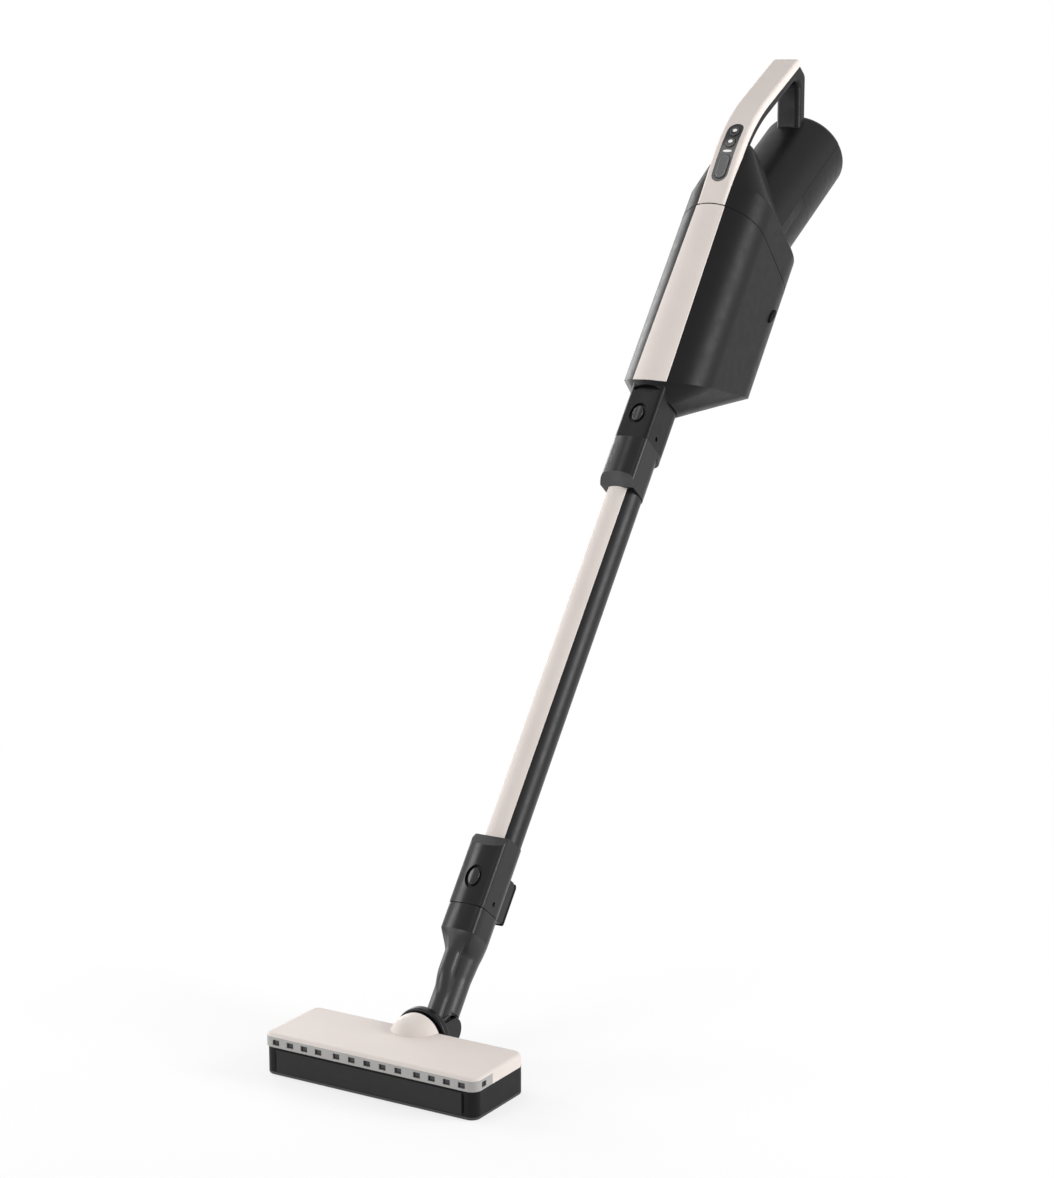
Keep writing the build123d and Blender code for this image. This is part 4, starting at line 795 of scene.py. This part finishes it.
def neck_barrel():
    """The round hinge barrel at the neck's foot."""
    bm = bmesh.new()
    profile = (
        (-BARREL_HALF, BARREL_R - ROUND_EDGE),
        (-BARREL_HALF + ROUND_EDGE, BARREL_R),
        (BARREL_HALF - ROUND_EDGE, BARREL_R),
        (BARREL_HALF, BARREL_R - ROUND_EDGE),
    )
    rings = []
    for x, r in profile:
        rings.append([bm.verts.new(on_stick(x, r * math.cos(turn), r * math.sin(turn))) for turn in TURNS])
    lofted(bm, rings)
    piece("neck_barrel", bm, "charcoal_neck", "neck", round_below=30)


bumper_notch_shade()
flap_slits()
neck_shaft()
neck_collar()
neck_plug()
neck_barrel()
panel_marks()
seam_gasket()
roll_tufts()
felt_lip()

# Floor and world

WHITE = (1.0, 1.0, 1.0, 1.0)
FLOOR_TONE = (0.92, 0.92, 0.92, 1.0)
FLOOR_HALF = 60.0
FLOOR_GLOW_NEAR = 0.72
SHADOW_NEAR = 0.35
SHADOW_FAR = 1.3
WORLD_FILL = 0.42


def seen_ray(tree):
    """1 for rays that show the surface itself: to the camera, in a reflection, or through glass."""
    path = tree.nodes.new("ShaderNodeLightPath")
    either = combined(tree, "MAXIMUM", path.outputs["Is Camera Ray"], path.outputs["Is Glossy Ray"])
    return combined(tree, "MAXIMUM", either, path.outputs["Is Transmission Ray"])


def show_mix(tree, factor, plain, seen, out):
    """Send a mix of two shaders to the output."""
    blend = tree.nodes.new("ShaderNodeMixShader")
    tree.links.new(factor, blend.inputs["Fac"])
    tree.links.new(plain.outputs[0], blend.inputs[1])
    tree.links.new(seen.outputs[0], blend.inputs[2])
    tree.links.new(blend.outputs[0], out.inputs["Surface"])


def floor_material():
    """A pale matte floor that turns to plain white away from the object's shadow."""
    mat = bpy.data.materials.new("floor")
    mat.use_nodes = True
    tree = mat.node_tree
    tree.nodes.remove(tree.nodes["Principled BSDF"])
    matte = tree.nodes.new("ShaderNodeBsdfDiffuse")
    matte.inputs["Color"].default_value = FLOOR_TONE
    glow = tree.nodes.new("ShaderNodeEmission")
    glow.inputs["Color"].default_value = WHITE
    glow.inputs["Strength"].default_value = 1.0
    place = tree.nodes.new("ShaderNodeTexCoord")
    far = tree.nodes.new("ShaderNodeVectorMath")
    far.operation = "LENGTH"
    tree.links.new(place.outputs["Object"], far.inputs[0])
    share = spread(tree, far.outputs["Value"], FLOOR_GLOW_NEAR, 1.0, SHADOW_NEAR, SHADOW_FAR)
    factor = combined(tree, "MULTIPLY", seen_ray(tree), share)
    show_mix(tree, factor, matte, glow, tree.nodes["Material Output"])
    return mat


def make_floor():
    """The stage floor, wide enough to run far past the object."""
    mesh = bpy.data.meshes.new("floor")
    corners = [(a * FLOOR_HALF, b * FLOOR_HALF, 0) for a, b in CORNERS]
    mesh.from_pydata(corners, [], [(0, 1, 2, 3)])
    mesh.materials.append(floor_material())
    obj = bpy.data.objects.new("floor", mesh)
    bpy.context.scene.collection.objects.link(obj)


def make_world():
    """An even fill light that the camera and reflections see as white."""
    world = bpy.data.worlds.new("studio")
    bpy.context.scene.world = world
    world.use_nodes = True
    tree = world.node_tree
    fill = tree.nodes["Background"]
    fill.inputs["Color"].default_value = WHITE
    fill.inputs["Strength"].default_value = WORLD_FILL
    seen = tree.nodes.new("ShaderNodeBackground")
    seen.inputs["Color"].default_value = WHITE
    seen.inputs["Strength"].default_value = 1.0
    show_mix(tree, seen_ray(tree), fill, seen, tree.nodes["World Output"])


# Lamps and camera

SENSOR = 36.0
FOCAL_PIXELS = 2651.3
PHOTO_TALL = 1178
EYE_PLACE = (1.2316, -1.8018, 0.8568)
EYE_DOWN = 10.92
EYE_TURN = 31.32


def soft_box(name, place, target, size, watts, along=VERTICAL):
    """A rectangular light that faces its target, with its second side along a direction."""
    light = bpy.data.lights.new(name, "AREA")
    light.shape = "RECTANGLE"
    light.size = size[0]
    light.size_y = size[1]
    light.energy = watts
    obj = bpy.data.objects.new(name, light)
    bpy.context.scene.collection.objects.link(obj)
    away = (Vector(place) - Vector(target)).normalized()
    side = along.cross(away).normalized()
    turn = Matrix((side, away.cross(side), away)).transposed()
    obj.matrix_world = Matrix.Translation(place) @ turn.to_4x4()


make_floor()
make_world()
soft_box("key_light", place=(-1.95, -0.1, 0.9), target=(0, 0.35, 0.5), size=(1.0, 1.4), watts=18)
soft_box("front_fill", place=(-1.3, -1.9, 0.5), target=(0, 0.4, 0.6), size=(1.2, 1.2), watts=22)
soft_box("handle_light", place=(-0.5, 0.0, 1.9), target=(0, 0.62, 0.78), size=(0.7, 0.7), watts=4.2)
soft_box("right_strip", place=(1.8, 0.8, 0.95), target=(0, 0.5, 0.6), size=(0.75, 1.7), watts=36, along=UP)
soft_box("left_panel", place=(-1.6, 1.3, 0.7), target=(0, 0.4, 0.4), size=(0.7, 1.2), watts=14)

camera = bpy.data.cameras.new("camera")
camera.sensor_width = SENSOR
camera.lens = SENSOR * FOCAL_PIXELS / PHOTO_TALL
eye = bpy.data.objects.new("camera", camera)
bpy.context.scene.collection.objects.link(eye)
eye.location = EYE_PLACE
eye.rotation_euler = (math.radians(90 - EYE_DOWN), 0, math.radians(EYE_TURN))
bpy.context.scene.camera = eye
bpy.context.scene.view_settings.view_transform = "Standard"
